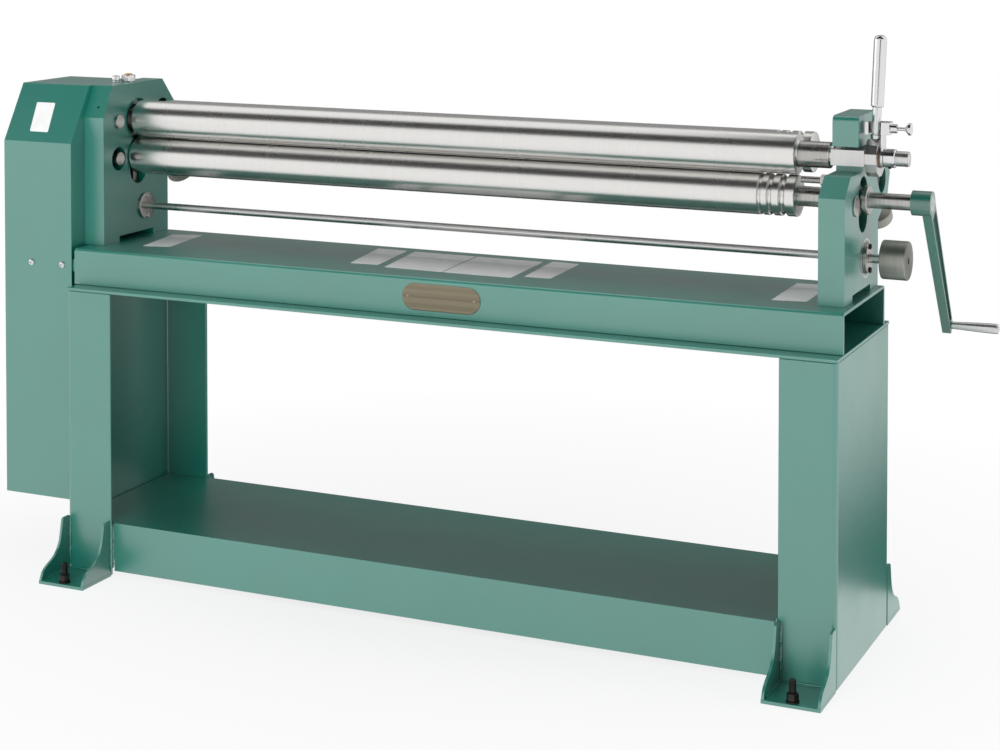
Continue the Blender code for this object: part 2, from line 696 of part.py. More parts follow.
def build_frame_bolts():
    """Bolts from inside the bed up into the feet of the frames."""
    for end, (x, y) in frame_bolt_places().items():
        head_top = BED_TOP - BED_SHEET - GAP
        bolt = rod(f"frame_bolt_{end}", FRAME_BOLT_RADIUS, (x, y, head_top - FRAME_BOLT_HEAD / 2),
                   (x, y, FRAME_BOTTOM + FRAME_BOLT_DEPTH), SMALL_SIDES)
        head = rod("head", FRAME_BOLT_HEAD_RADIUS, (x, y, head_top - FRAME_BOLT_HEAD),
                   (x, y, head_top), HEX_SIDES)
        dress(join(bolt, head), DARK_STEEL)


def rear_outline():
    """The frames' shared back edge, from the top round the bulge and down to the foot."""
    points = [(ROLL_Y + FRAME_TOP_REAR, FRAME_TOP)]
    for back, up in (BULGE_SHOULDER, BULGE_NOSE, BULGE_HEEL):
        points.append((REAR_Y + back, REAR_Z + up))
    root = ROLL_Y + FRAME_REAR
    points.append((root, REAR_Z - BULGE_ROOT_DROP))
    return points + [(root, FRAME_BOTTOM)]


def foot_outline():
    """The frames' feet: two pads with a window between them."""
    pad_top = FRAME_BOTTOM + PAD_HEIGHT
    return [(ROLL_Y + PAD_WINDOW_REAR, FRAME_BOTTOM), (ROLL_Y + PAD_WINDOW_REAR, pad_top),
            (ROLL_Y - PAD_WINDOW_FRONT, pad_top), (ROLL_Y - PAD_WINDOW_FRONT, FRAME_BOTTOM),
            (ROLL_Y - FRAME_FRONT, FRAME_BOTTOM)]


def left_frame_outline():
    """The closed left frame, with its front corner cut back."""
    front = ROLL_Y - FRAME_FRONT
    return (rear_outline() + foot_outline()
            + [(front, FRAME_TOP - FRAME_FRONT_CHAMFER_DROP),
               (front + FRAME_FRONT_CHAMFER_RUN, FRAME_TOP)])


def right_frame_outline():
    """The right frame, open at the front so that the upper roll can swing out."""
    front = ROLL_Y - FRAME_FRONT
    floor = UPPER_Z - THROAT_FLOOR_DROP
    step = UPPER_Z - THROAT_STEP_DROP
    roof = UPPER_Z + THROAT_ROOF
    head = ROLL_Y - HEAD_FRONT
    throat = [(front, floor - THROAT_CHAMFER_DROP), (front + THROAT_CHAMFER_RUN, floor),
              (ROLL_Y - THROAT_STEP_FRONT, floor), (ROLL_Y - THROAT_STEP_FRONT, step),
              (ROLL_Y + THROAT_REAR, step), (ROLL_Y + THROAT_REAR, roof), (head, roof)]
    top = arc((head + HEAD_ROUND, FRAME_TOP - HEAD_ROUND), HEAD_ROUND, 180, 90, 4)
    return rear_outline() + foot_outline() + throat + top


def build_frame(name, outline, inner, outer):
    """A cast end frame with its slots, bores and pockets; inner and outer are its faces."""
    middle = (inner + outer) / 2
    away = 1 if outer > inner else -1
    frame = plate(name, outline, FRAME_THICK, (middle, 0, 0))
    deep = FRAME_THICK + 2 * OVERRUN
    slot = slot_outline(LOWER_SLOT_HALF_WIDTH, LOWER_SLOT_DOWN, LOWER_SLOT_UP)
    lower_slot = plate(name + "_lower_slot", slot, deep, (middle, ROLL_Y, LOWER_Z))
    rear = slot_outline(REAR_SLOT_HALF_WIDTH, REAR_SLOT_DOWN, REAR_SLOT_UP)
    rear_slot = plate(name + "_rear_slot", rear, deep, (middle, REAR_Y, REAR_Z),
                      Vector((0, REAR_UP.z, -REAR_UP.y)), REAR_UP)
    centre = Vector((middle, REAR_Y, REAR_Z))
    screw_bore = rod(name + "_screw_bore", REAR_SCREW_RADIUS + GAP,
                     centre - REAR_UP * REAR_SLOT_DOWN, centre - REAR_UP * REAR_BORE_DEPTH)
    cut(frame, lower_slot, rear_slot, screw_bore)
    cut_lift_gear(frame, name, middle, max(inner, outer), away)
    for x, y in frame_bolt_places().values():
        if abs(x - middle) < FRAME_THICK:
            cut(frame, rod(name + "_bolt_bore", FRAME_BOLT_RADIUS + GAP,
                           (x, y, FRAME_BOTTOM - OVERRUN),
                           (x, y, FRAME_BOTTOM + FRAME_BOLT_DEPTH + OVERRUN), SMALL_SIDES))
    return frame


def cut_lift_gear(frame, name, middle, face, away):
    """Cuts a frame for the cross rod, its eccentric and the push stem above that."""
    floor = face - CAM_BORE_DEPTH
    past = face + OVERRUN
    cam_bore = rod(name + "_cam_bore", CAM_RADIUS + CAM_THROW + CAM_BORE_CLEARANCE,
                   *along_x(past, floor, ROD_Y, ROD_Z))
    rod_bore = rod(name + "_rod_bore", ROD_RADIUS + ROD_CLEARANCE,
                   *along_x(floor + OVERRUN, rod_bore_end(away), ROD_Y, ROD_Z))
    stem_y = ROLL_Y + STEM_BACK
    stem_bore = rod(name + "_stem_bore", STEM_RADIUS + GAP, (middle, stem_y, ROD_Z),
                    (middle, stem_y, LOWER_Z - LOWER_SLOT_DOWN), SMALL_SIDES)
    foot_bottom = stem_foot_bottom()
    room = STEM_POCKET_ROOM
    side = STEM_FOOT_HALF_WIDTH + STEM_POCKET_SIDE
    pocket = box(name + "_pocket",
                 (middle - side, ROLL_Y + STEM_FOOT_FRONT - room, foot_bottom - LIFT_TRAVEL - room),
                 (middle + side, ROLL_Y + STEM_FOOT_REAR + room,
                  foot_bottom + STEM_FOOT_THICK + room))
    cut(frame, cam_bore, rod_bore, stem_bore, pocket)


def rod_bore_end(away):
    """Where the small bore past a cam bore ends: through on the right, blind on the left."""
    if away > 0:
        return RIGHT_IN - OVERRUN
    return LEFT_OUT + OVERRUN


def stem_foot_bottom():
    """The height of the push stems' feet, just above the eccentrics at rest."""
    return ROD_Z + CAM_RADIUS + GAP


def build_frames():
    """Both end frames and the small pieces that are fixed to them."""
    left = build_frame("left_frame", left_frame_outline(), LEFT_IN, LEFT_OUT)
    bush_bore = rod("bush_bore", BALL_RADIUS + GAP,
                    *along_x(LEFT_OUT - OVERRUN, LEFT_IN + OVERRUN, ROLL_Y, UPPER_Z))
    counterbore = rod("counterbore", COUNTERBORE_RADIUS,
                      *along_x(LEFT_IN - COUNTERBORE_DEPTH, LEFT_IN + OVERRUN, ROLL_Y, UPPER_Z))
    pin_hole = rod("lower_pin_hole", IDLER_PIN_RADIUS + IDLER_HOLE_ROOM,
                   *along_x(LEFT_OUT - OVERRUN, LEFT_IN + OVERRUN, IDLER_Y, LOWER_Z))
    fixed_hole = rod("upper_pin_hole", IDLER_PIN_RADIUS + GAP,
                     *along_x(LEFT_OUT - OVERRUN, LEFT_IN + OVERRUN, IDLER_Y, UPPER_Z))
    screw_bore = rod("set_screw_bore", SET_SCREW_RADIUS + GAP, (LEFT_MID, ROLL_Y, UPPER_Z),
                     (LEFT_MID, ROLL_Y, FRAME_TOP + OVERRUN), SMALL_SIDES)
    cap_x = LEFT_OUT + OIL_CAP_INSET
    cap_bore = rod("oil_cap_bore", OIL_CAP_STEM_RADIUS + GAP,
                   (cap_x, ROLL_Y - OIL_CAP_FORWARD, FRAME_TOP - OIL_CAP_STEM - GAP),
                   (cap_x, ROLL_Y - OIL_CAP_FORWARD, FRAME_TOP + OVERRUN), SMALL_SIDES)
    front = ROLL_Y - FRAME_FRONT
    slope = Vector((0, -FRAME_FRONT_CHAMFER_DROP, FRAME_FRONT_CHAMFER_RUN)).normalized()
    mouth = Vector((LEFT_OUT + OIL_HOLE_INSET, front + FRAME_FRONT_CHAMFER_RUN * OIL_HOLE_SHARE,
                    FRAME_TOP - FRAME_FRONT_CHAMFER_DROP * (1 - OIL_HOLE_SHARE)))
    oil_hole = rod("oil_hole", OIL_HOLE_RADIUS, mouth - slope * OIL_HOLE_DEPTH,
                   mouth + slope * OVERRUN, SMALL_SIDES)
    cut(left, bush_bore, counterbore, pin_hole, fixed_hole, screw_bore, cap_bore, oil_hole)
    dress(left, PAINT)
    right = build_frame("right_frame", right_frame_outline(), RIGHT_IN, RIGHT_OUT)
    plug_y, plug_z = ROLL_Y - PLUG_FRONT, LOWER_Z - PLUG_DROP
    plug_bore = rod("plug_bore", PLUG_STEM_RADIUS + GAP,
                    *along_x(RIGHT_OUT - PLUG_STEM_LENGTH - GAP, RIGHT_OUT + OVERRUN,
                             plug_y, plug_z), SMALL_SIDES)
    stop_y, stop_z = ROLL_Y - EDGE_STOP_FRONT, LOWER_Z + EDGE_STOP_RISE
    stop_bore = rod("stop_bore", EDGE_STOP_RADIUS + GAP,
                    *along_x(RIGHT_IN - OVERRUN, RIGHT_IN + EDGE_STOP_DEPTH + GAP,
                             stop_y, stop_z), SMALL_SIDES)
    dress(cut(right, plug_bore, stop_bore), PAINT)
    plug = turned("right_frame_plug",
                  [(PLUG_THICK, 0), (PLUG_THICK, PLUG_RADIUS), (0, PLUG_RADIUS),
                   (0, PLUG_STEM_RADIUS), (-PLUG_STEM_LENGTH, PLUG_STEM_RADIUS),
                   (-PLUG_STEM_LENGTH, 0)],
                  (RIGHT_OUT + GAP, plug_y, plug_z), sides=SMALL_SIDES)
    dress(plug, PAINT)
    stop = rod("edge_stop_screw", EDGE_STOP_RADIUS,
               *along_x(RIGHT_IN - EDGE_STOP_REACH, RIGHT_IN + EDGE_STOP_DEPTH, stop_y, stop_z),
               SMALL_SIDES)
    nut = rod("stop_nut", EDGE_STOP_NUT_RADIUS,
              *along_x(RIGHT_IN - GAP - EDGE_STOP_NUT_THICK, RIGHT_IN - GAP, stop_y, stop_z), HEX_SIDES)
    dress(join(stop, nut), STEEL)
    build_bush_fastening(cap_x)


def build_bush_fastening(cap_x):
    """The set screw over the ball bush, its lock nut, and the oil cap beside them."""
    tip = UPPER_Z + BALL_RADIUS + 2 * GAP
    dress(rod("bearing_set_screw", SET_SCREW_RADIUS, (LEFT_MID, ROLL_Y, tip),
              (LEFT_MID, ROLL_Y, FRAME_TOP + SET_SCREW_PROUD), SMALL_SIDES), DARK_STEEL)
    seat = FRAME_TOP + GAP
    nut = rod("bearing_lock_nut", LOCK_NUT_RADIUS, (LEFT_MID, ROLL_Y, seat),
              (LEFT_MID, ROLL_Y, seat + LOCK_NUT_THICK), HEX_SIDES)
    nut_bore = rod("lock_nut_bore", SET_SCREW_RADIUS + GAP, (LEFT_MID, ROLL_Y, seat - OVERRUN),
                   (LEFT_MID, ROLL_Y, seat + LOCK_NUT_THICK + OVERRUN), SMALL_SIDES)
    dress(cut(nut, nut_bore), STEEL)
    cap = turned("oil_cap",
                 [(OIL_CAP_HEIGHT, 0), (OIL_CAP_HEIGHT, OIL_CAP_RADIUS), (0, OIL_CAP_RADIUS),
                  (0, OIL_CAP_STEM_RADIUS), (-OIL_CAP_STEM, OIL_CAP_STEM_RADIUS),
                  (-OIL_CAP_STEM, 0)],
                 (cap_x, ROLL_Y - OIL_CAP_FORWARD, seat), (0, 0, 1), SMALL_SIDES)
    dress(cap, BRASS)


def body_profile(left, right, grooves):
    """A roll's body from its right end to its left, with its wire grooves."""
    points = [(right, ROLL_RADIUS - ROLL_EDGE), (right - ROLL_EDGE, ROLL_RADIUS)]
    if grooves:
        for place, width in zip(WIRE_GROOVE_PLACES, WIRE_GROOVE_WIDTHS):
            points += [(right - place + x, ROLL_RADIUS - depth)
                       for x, depth in arc((0, 0), width / 2, 0, 180, 4)]
    return points + [(left + ROLL_EDGE, ROLL_RADIUS), (left, ROLL_RADIUS - ROLL_EDGE)]


def build_rolls():
    """The three rolls, each with its journals and shaft ends."""
    journal_left = GEAR_RIGHT + GEAR_SHOULDER
    crank_end = HUB_OUT - CRANK_BORE_WALL - GAP
    lower = ([(crank_end, 0), (crank_end, SHAFT_RADIUS), (RIGHT_OUT, SHAFT_RADIUS),
              (RIGHT_OUT, LOWER_RIGHT_JOURNAL_RADIUS), (ROLL_RIGHT, LOWER_RIGHT_JOURNAL_RADIUS)]
             + body_profile(ROLL_LEFT, ROLL_RIGHT, True)
             + [(ROLL_LEFT, JOURNAL_RADIUS), (journal_left, JOURNAL_RADIUS),
                (journal_left, SHAFT_RADIUS), (SHAFT_LEFT, SHAFT_RADIUS), (SHAFT_LEFT, 0)])
    dress(turned("lower_roll", lower, (0, ROLL_Y, LOWER_Z)), STEEL)
    spindle_end = RIGHT_OUT + BLOCK_OUTER_OVERHANG + SPIGOT_LENGTH - GAP
    neck_end = ROLL_RIGHT + UPPER_NECK_LENGTH
    small_neck_end = RIGHT_IN - BLOCK_INNER_OVERHANG - GAP
    body_left = ROLL_LEFT + UPPER_SET_BACK
    upper = ([(spindle_end - ROLL_CENTRE_HOLE_DEPTH, 0),
              (spindle_end - ROLL_CENTRE_HOLE_DEPTH, ROLL_CENTRE_HOLE_RADIUS),
              (spindle_end, ROLL_CENTRE_HOLE_RADIUS), (spindle_end, UPPER_SPINDLE_RADIUS),
              (small_neck_end, UPPER_SPINDLE_RADIUS), (small_neck_end, UPPER_SMALL_NECK_RADIUS),
              (neck_end, UPPER_SMALL_NECK_RADIUS), (neck_end, UPPER_NECK_RADIUS),
              (ROLL_RIGHT, UPPER_NECK_RADIUS)]
             + body_profile(body_left, ROLL_RIGHT, False)
             + [(body_left, JOURNAL_RADIUS), (journal_left, JOURNAL_RADIUS),
                (journal_left, SHAFT_RADIUS), (SHAFT_LEFT, SHAFT_RADIUS), (SHAFT_LEFT, 0)])
    dress(turned("upper_roll", upper, (0, ROLL_Y, UPPER_Z)), STEEL)
    inside = BLOCK_RECESS + GAP
    rear = ([(RIGHT_OUT - inside, 0), (RIGHT_OUT - inside, REAR_JOURNAL_RADIUS),
             (ROLL_RIGHT, REAR_JOURNAL_RADIUS)]
            + body_profile(ROLL_LEFT, ROLL_RIGHT, True)
            + [(ROLL_LEFT, REAR_JOURNAL_RADIUS), (LEFT_OUT + inside, REAR_JOURNAL_RADIUS),
               (LEFT_OUT + inside, 0)])
    dress(turned("rear_roll", rear, (0, REAR_Y, REAR_Z)), STEEL)


def block_span(side):
    """Where a sliding block's thickness starts and ends along the machine."""
    if side < 0:
        return LEFT_OUT + BLOCK_RECESS, LEFT_OUT + BLOCK_RECESS + BLOCK_THICK
    return RIGHT_OUT - BLOCK_RECESS - BLOCK_THICK, RIGHT_OUT - BLOCK_RECESS


def build_lower_block(name, side, journal_radius):
    """A block of the lower roll: round housing, push stem and the stem's flat foot."""
    start, end = block_span(side)
    middle = LEFT_MID if side < 0 else RIGHT_MID
    housing_radius = LOWER_SLOT_HALF_WIDTH - BLOCK_CLEARANCE
    block = rod(name, housing_radius, *along_x(start, end, ROLL_Y, LOWER_Z))
    stem_y = ROLL_Y + STEM_BACK
    foot = stem_foot_bottom()
    stem = rod(name + "_stem", STEM_RADIUS, (middle, stem_y, foot + STEM_FOOT_THICK / 2),
               (middle, stem_y, LOWER_Z - journal_radius), SMALL_SIDES)
    pad = box(name + "_foot", (middle - STEM_FOOT_HALF_WIDTH, ROLL_Y + STEM_FOOT_FRONT, foot),
              (middle + STEM_FOOT_HALF_WIDTH, ROLL_Y + STEM_FOOT_REAR, foot + STEM_FOOT_THICK))
    join(block, stem, pad)
    reach = LINK_THICK + BLOCK_RECESS
    if side < 0:
        plate_out = LEFT_OUT - GAP - LINK_THICK
        link = box(name + "_link",
                   (plate_out, IDLER_Y - LINK_PAST_PIN, LOWER_Z - LINK_HALF_HEIGHT),
                   (LEFT_OUT - GAP, ROLL_Y + LINK_PAST_SHAFT, LOWER_Z + LINK_HALF_HEIGHT))
        neck = rod(name + "_neck", journal_radius + LINK_NECK_WALL,
                   *along_x(plate_out + LINK_THICK / 2, start + BLOCK_RECESS, ROLL_Y, LOWER_Z))
        join(block, neck, link)
        cut(block, rod(name + "_pin_bore", IDLER_PIN_RADIUS + GAP,
                       *along_x(plate_out - OVERRUN, LEFT_OUT + OVERRUN, IDLER_Y, LOWER_Z)))
    cut(block, rod(name + "_bore", journal_radius + GAP,
                   *along_x(start - reach - OVERRUN, end + OVERRUN, ROLL_Y, LOWER_Z)))
    return dress(block, DARK_STEEL)


def build_rear_block(name, side):
    """A block of the rear roll: a round-ended slide with the roll's and the screw's bores."""
    start, end = block_span(side)
    middle = (start + end) / 2
    outline = slot_outline(REAR_SLOT_HALF_WIDTH - BLOCK_CLEARANCE, REAR_BLOCK_DOWN, 0)
    block = plate(name, outline, BLOCK_THICK, (middle, REAR_Y, REAR_Z),
                  Vector((0, REAR_UP.z, -REAR_UP.y)), REAR_UP)
    screw_x = LEFT_MID if side < 0 else RIGHT_MID
    centre = Vector((screw_x, REAR_Y, REAR_Z))
    below = REAR_BLOCK_DOWN + REAR_SLOT_HALF_WIDTH + OVERRUN
    cut(block,
        rod(name + "_bore", REAR_JOURNAL_RADIUS + GAP,
            *along_x(start - OVERRUN, end + OVERRUN, REAR_Y, REAR_Z)),
        rod(name + "_screw_bore", REAR_SCREW_RADIUS + GAP,
            centre - REAR_UP * (REAR_SCREW_TOP - GAP), centre - REAR_UP * below))
    return dress(block, DARK_STEEL)


def build_rear_screw(name, middle):
    """A screw that lifts one end of the rear roll, with its knob."""
    low = REAR_KNOB_TOP + REAR_KNOB_THICK
    profile = [(-REAR_SCREW_TOP, 0), (-REAR_SCREW_TOP, REAR_SCREW_RADIUS),
               (-REAR_KNOB_TOP, REAR_SCREW_RADIUS),
               (-REAR_KNOB_TOP, REAR_KNOB_RADIUS - REAR_KNOB_EDGE),
               (-REAR_KNOB_TOP - REAR_KNOB_EDGE, REAR_KNOB_RADIUS),
               (REAR_KNOB_EDGE - low, REAR_KNOB_RADIUS), (-low, REAR_KNOB_RADIUS - REAR_KNOB_EDGE),
               (-low, 0)]
    dress(turned(name, profile, (middle, REAR_Y, REAR_Z), REAR_UP), KNOB_METAL)


def build_carriages():
    """The blocks that carry the lower and rear rolls, and what moves those blocks."""
    build_lower_block("lower_left_block", -1, JOURNAL_RADIUS)
    build_lower_block("lower_right_block", 1, LOWER_RIGHT_JOURNAL_RADIUS)
    ring = [(THRUST_RING_WIDTH, THRUST_RING_RADIUS), (0, THRUST_RING_RADIUS),
            (0, SHAFT_RADIUS + GAP), (THRUST_RING_WIDTH, SHAFT_RADIUS + GAP)]
    dress(turned("lower_thrust_ring", ring, (RIGHT_OUT + GAP, ROLL_Y, LOWER_Z), ring=True), STEEL)
    for name, side, middle in (("left", -1, LEFT_MID), ("right", 1, RIGHT_MID)):
        build_rear_block(f"rear_{name}_block", side)
        build_rear_screw(f"rear_screw_{name}", middle)
    build_lift_rod()


def build_lift_rod():
    """The cross rod with an eccentric in each frame, its flanges and its knob."""
    knob_in = RIGHT_OUT + LIFT_KNOB_STANDOFF
    knob_out = knob_in + LIFT_KNOB_WIDTH
    foot_half = STEM_FOOT_HALF_WIDTH + STEM_POCKET_SIDE + GAP
    tail_right = LEFT_IN - CAM_BORE_DEPTH - GAP
    tail_left = LEFT_OUT + OVERRUN + GAP
    rod_end = knob_out - LIFT_KNOB_FLOOR - GAP
    profile = [(rod_end, 0), (rod_end, ROD_KNOB_RADIUS),
               (RIGHT_MID + foot_half, ROD_KNOB_RADIUS), (RIGHT_MID + foot_half, ROD_THIN_RADIUS),
               (RIGHT_MID - foot_half, ROD_THIN_RADIUS), (RIGHT_MID - foot_half, ROD_RADIUS),
               (LEFT_MID + foot_half, ROD_RADIUS), (LEFT_MID + foot_half, ROD_THIN_RADIUS),
               (tail_right, ROD_THIN_RADIUS), (tail_right, ROD_RADIUS), (tail_left, ROD_RADIUS),
               (tail_left, 0)]
    lift = turned("lift_rod", profile, (0, ROD_Y, ROD_Z))
    for middle in (LEFT_MID, RIGHT_MID):
        join(lift, rod("cam", CAM_RADIUS, *along_x(middle - CAM_HALF_WIDTH,
                                                   middle + CAM_HALF_WIDTH,
                                                   ROD_Y - CAM_THROW, ROD_Z)))
    dress(lift, STEEL)
    build_flange("rod_flange_left", LEFT_IN + GAP, ROD_RADIUS)
    build_flange("rod_flange_right", RIGHT_OUT + GAP, ROD_KNOB_RADIUS)
    width = LIFT_KNOB_WIDTH
    knob = [(width, 0), (width, LIFT_KNOB_RADIUS - LIFT_KNOB_EDGE),
            (width - LIFT_KNOB_EDGE, LIFT_KNOB_RADIUS), (LIFT_KNOB_EDGE, LIFT_KNOB_RADIUS),
            (0, LIFT_KNOB_RADIUS - LIFT_KNOB_EDGE), (0, ROD_KNOB_RADIUS + GAP),
            (width - LIFT_KNOB_FLOOR, ROD_KNOB_RADIUS + GAP), (width - LIFT_KNOB_FLOOR, 0)]
    dress(turned("lift_knob", knob, (knob_in, ROD_Y, ROD_Z)), KNOB_METAL)


def build_flange(name, left, bore_radius):
    """A round cap round the cross rod, with sunk screw holes on its outer face."""
    profile = [(FLANGE_THICK, FLANGE_RADIUS), (0, FLANGE_RADIUS),
               (0, bore_radius + GAP), (FLANGE_THICK, bore_radius + GAP)]
    flange = turned(name, profile, (left, ROD_Y, ROD_Z), ring=True)
    for y, z in arc((ROD_Y, ROD_Z), FLANGE_SCREW_CIRCLE, 90, 90 + 360, FLANGE_SCREWS)[:-1]:
        cut(flange, rod(name + "_sink", FLANGE_SCREW_RADIUS,
                        *along_x(left + FLANGE_THICK - FLANGE_SCREW_SINK,
                                 left + FLANGE_THICK + OVERRUN, y, z), SMALL_SIDES))
    dress(flange, STEEL)


def build_upper_ends():
    """The ball bush at the left of the upper roll, and its block and lock at the right."""
    bore = JOURNAL_RADIUS + GAP
    ball = []
    for n in range(BALL_RINGS + 1):
        x = BALL_HALF_WIDTH * (1 - 2 * n / BALL_RINGS)
        ball.append((x, math.sqrt(BALL_RADIUS ** 2 - x ** 2)))
    ball += [(-BALL_HALF_WIDTH, bore), (BALL_HALF_WIDTH, bore)]
    dress(turned("upper_left_bearing", ball, (LEFT_MID, ROLL_Y, UPPER_Z), ring=True), BRASS)
    block_left = RIGHT_IN - BLOCK_INNER_OVERHANG
    block_right = RIGHT_OUT + BLOCK_OUTER_OVERHANG
    spigot_end = block_right + SPIGOT_LENGTH
    block = box("upper_right_block",
                (block_left, ROLL_Y - BLOCK_FRONT, UPPER_Z - THROAT_STEP_DROP + BLOCK_SEAT_GAP),
                (block_right, ROLL_Y + THROAT_REAR - GAP, UPPER_Z + BLOCK_TOP))
    spigot = rod("spigot", SPIGOT_RADIUS,
                 *along_x(block_right - OVERRUN, spigot_end, ROLL_Y, UPPER_Z))
    spindle_bore = rod("spindle_bore", UPPER_SPINDLE_RADIUS + GAP,
                       *along_x(block_left - OVERRUN, spigot_end + OVERRUN, ROLL_Y, UPPER_Z))
    dress(cut(join(block, spigot), spindle_bore), CHROME)
    ring_left = block_right + CAM_RING_GAP
    ring_right = ring_left + CAM_RING_WIDTH
    build_cam_ring(ring_left, ring_right)
    brass_left = ring_right + GAP
    build_ring("brass_washer", BRASS_RADIUS, BRASS_THICK, brass_left, BRASS)
    bracket_left = brass_left + BRASS_THICK + GAP
    build_lock_bracket(bracket_left)
    build_ring("spigot_collar", COLLAR_RADIUS, COLLAR_WIDTH,
               bracket_left + BRACKET_PLATE_THICK + GAP, STEEL)


def build_ring(name, radius, width, left, look):
    """A plain ring on the upper block's spigot."""
    bore = SPIGOT_RADIUS + GAP
    profile = [(width, radius), (0, radius), (0, bore), (width, bore)]
    dress(turned(name, profile, (left, ROLL_Y, UPPER_Z), ring=True), look)


def build_cam_ring(left, right):
    """The many-sided ring on the spigot and the lever that turns it."""
    half_side = 180 / CAM_RING_SIDES
    outline = arc((0, 0), CAM_RING_RADIUS, half_side, 360 - half_side, CAM_RING_SIDES - 1)
    bore = arc((0, 0), SPIGOT_RADIUS + GAP, 0, 360, SIDES)[:-1]
    middle = (left + right) / 2
    ring = plate("cam_ring", outline, right - left, (middle, ROLL_Y, UPPER_Z), holes=[bore])
    lean = Vector((math.sin(LEVER_LEAN), 0, math.cos(LEVER_LEAN)))
    centre = Vector((middle, ROLL_Y, UPPER_Z))
    cut(ring, rod("lever_bore", LEVER_ROOT_RADIUS + GAP, centre + lean * (LEVER_ROOT - GAP),
                  centre + lean * (CAM_RING_RADIUS + OVERRUN), SMALL_SIDES))
    dress(ring, CHROME)
    grip = LEVER_GRIP_RADIUS
    profile = [(LEVER_LENGTH, 0)]
    profile += [(LEVER_LENGTH - LEVER_DOME + LEVER_DOME * math.sin(a), grip * math.cos(a))
                for a in (math.radians(60), math.radians(30), 0)]
    profile += [(LEVER_GRIP_BOTTOM, grip), (LEVER_GRIP_BOTTOM, LEVER_STEM_RADIUS),
                (LEVER_NUT_TOP, LEVER_STEM_RADIUS), (LEVER_NUT_TOP, LEVER_NUT_RADIUS),
                (LEVER_NUT_BOTTOM, LEVER_NUT_RADIUS), (LEVER_NUT_BOTTOM, LEVER_ROOT_RADIUS),
                (LEVER_ROOT, LEVER_ROOT_RADIUS), (LEVER_ROOT, 0)]
    dress(turned("cam_lever", profile, centre, lean, SMALL_SIDES + 4), CHROME)


def build_lock_bracket(left):
    """The bracket whose mouth holds the upright lever, and its thumb screw."""
    low = UPPER_Z + BRACKET_LOW
    high = UPPER_Z + BRACKET_HIGH
    cheek_right = left + BRACKET_OUTER_CHEEK
    inner_left = left - BRACKET_MOUTH - BRACKET_INNER_CHEEK
    front = ROLL_Y - BRACKET_CHEEK_FRONT
    web_front = ROLL_Y + BRACKET_WEB_FRONT
    rear = web_front + BRACKET_WEB_THICK
    screw_z = (low + high) / 2
    bracket = box("lock_bracket",
                  (left, ROLL_Y - BRACKET_HALF_WIDTH, UPPER_Z),
                  (left + BRACKET_PLATE_THICK, ROLL_Y + BRACKET_HALF_WIDTH, high - GAP))
    cheek_left = left + GAP
    inner_right = inner_left + BRACKET_INNER_CHEEK
    yoke = [(inner_left, front), (inner_right, front), (inner_right, web_front),
            (cheek_left, web_front), (cheek_left, front), (cheek_right, front),
            (cheek_right, rear), (inner_left, rear)]
    join(bracket,
         rod("eye", SPIGOT_RADIUS + GAP + BRACKET_EYE_WALL,
             *along_x(left, left + BRACKET_PLATE_THICK, ROLL_Y, UPPER_Z)),
         plate("yoke", yoke, high - low, (0, 0, screw_z), (1, 0, 0), (0, 1, 0)),
         rod("screw_boss", BRACKET_BOSS_RADIUS,
             *along_x(cheek_right - OVERRUN, cheek_right + BRACKET_BOSS, ROLL_Y, screw_z),
             SMALL_SIDES))
    cut(bracket,
        rod("spigot_bore", SPIGOT_RADIUS + GAP,
            *along_x(left - OVERRUN, left + BRACKET_PLATE_THICK + OVERRUN, ROLL_Y, UPPER_Z)),
        rod("thumb_bore", THUMB_SHAFT_RADIUS + GAP,
            *along_x(left - OVERRUN, cheek_right + BRACKET_BOSS + OVERRUN, ROLL_Y, screw_z),
            SMALL_SIDES))
    dress(bracket, CHROME)
    head_left = cheek_right + BRACKET_BOSS + THUMB_HEAD_GAP
    head = THUMB_HEAD_THICK
    profile = [(head_left + head, 0), (head_left + head, THUMB_HEAD_RADIUS),
               (head_left, THUMB_HEAD_RADIUS),
               (head_left - THUMB_HEAD_CONE, THUMB_SHAFT_RADIUS),
               (left - THUMB_TIP, THUMB_SHAFT_RADIUS), (left - THUMB_TIP, 0)]
    dress(turned("thumb_screw", profile, (0, ROLL_Y, screw_z), sides=SMALL_SIDES), CHROME)


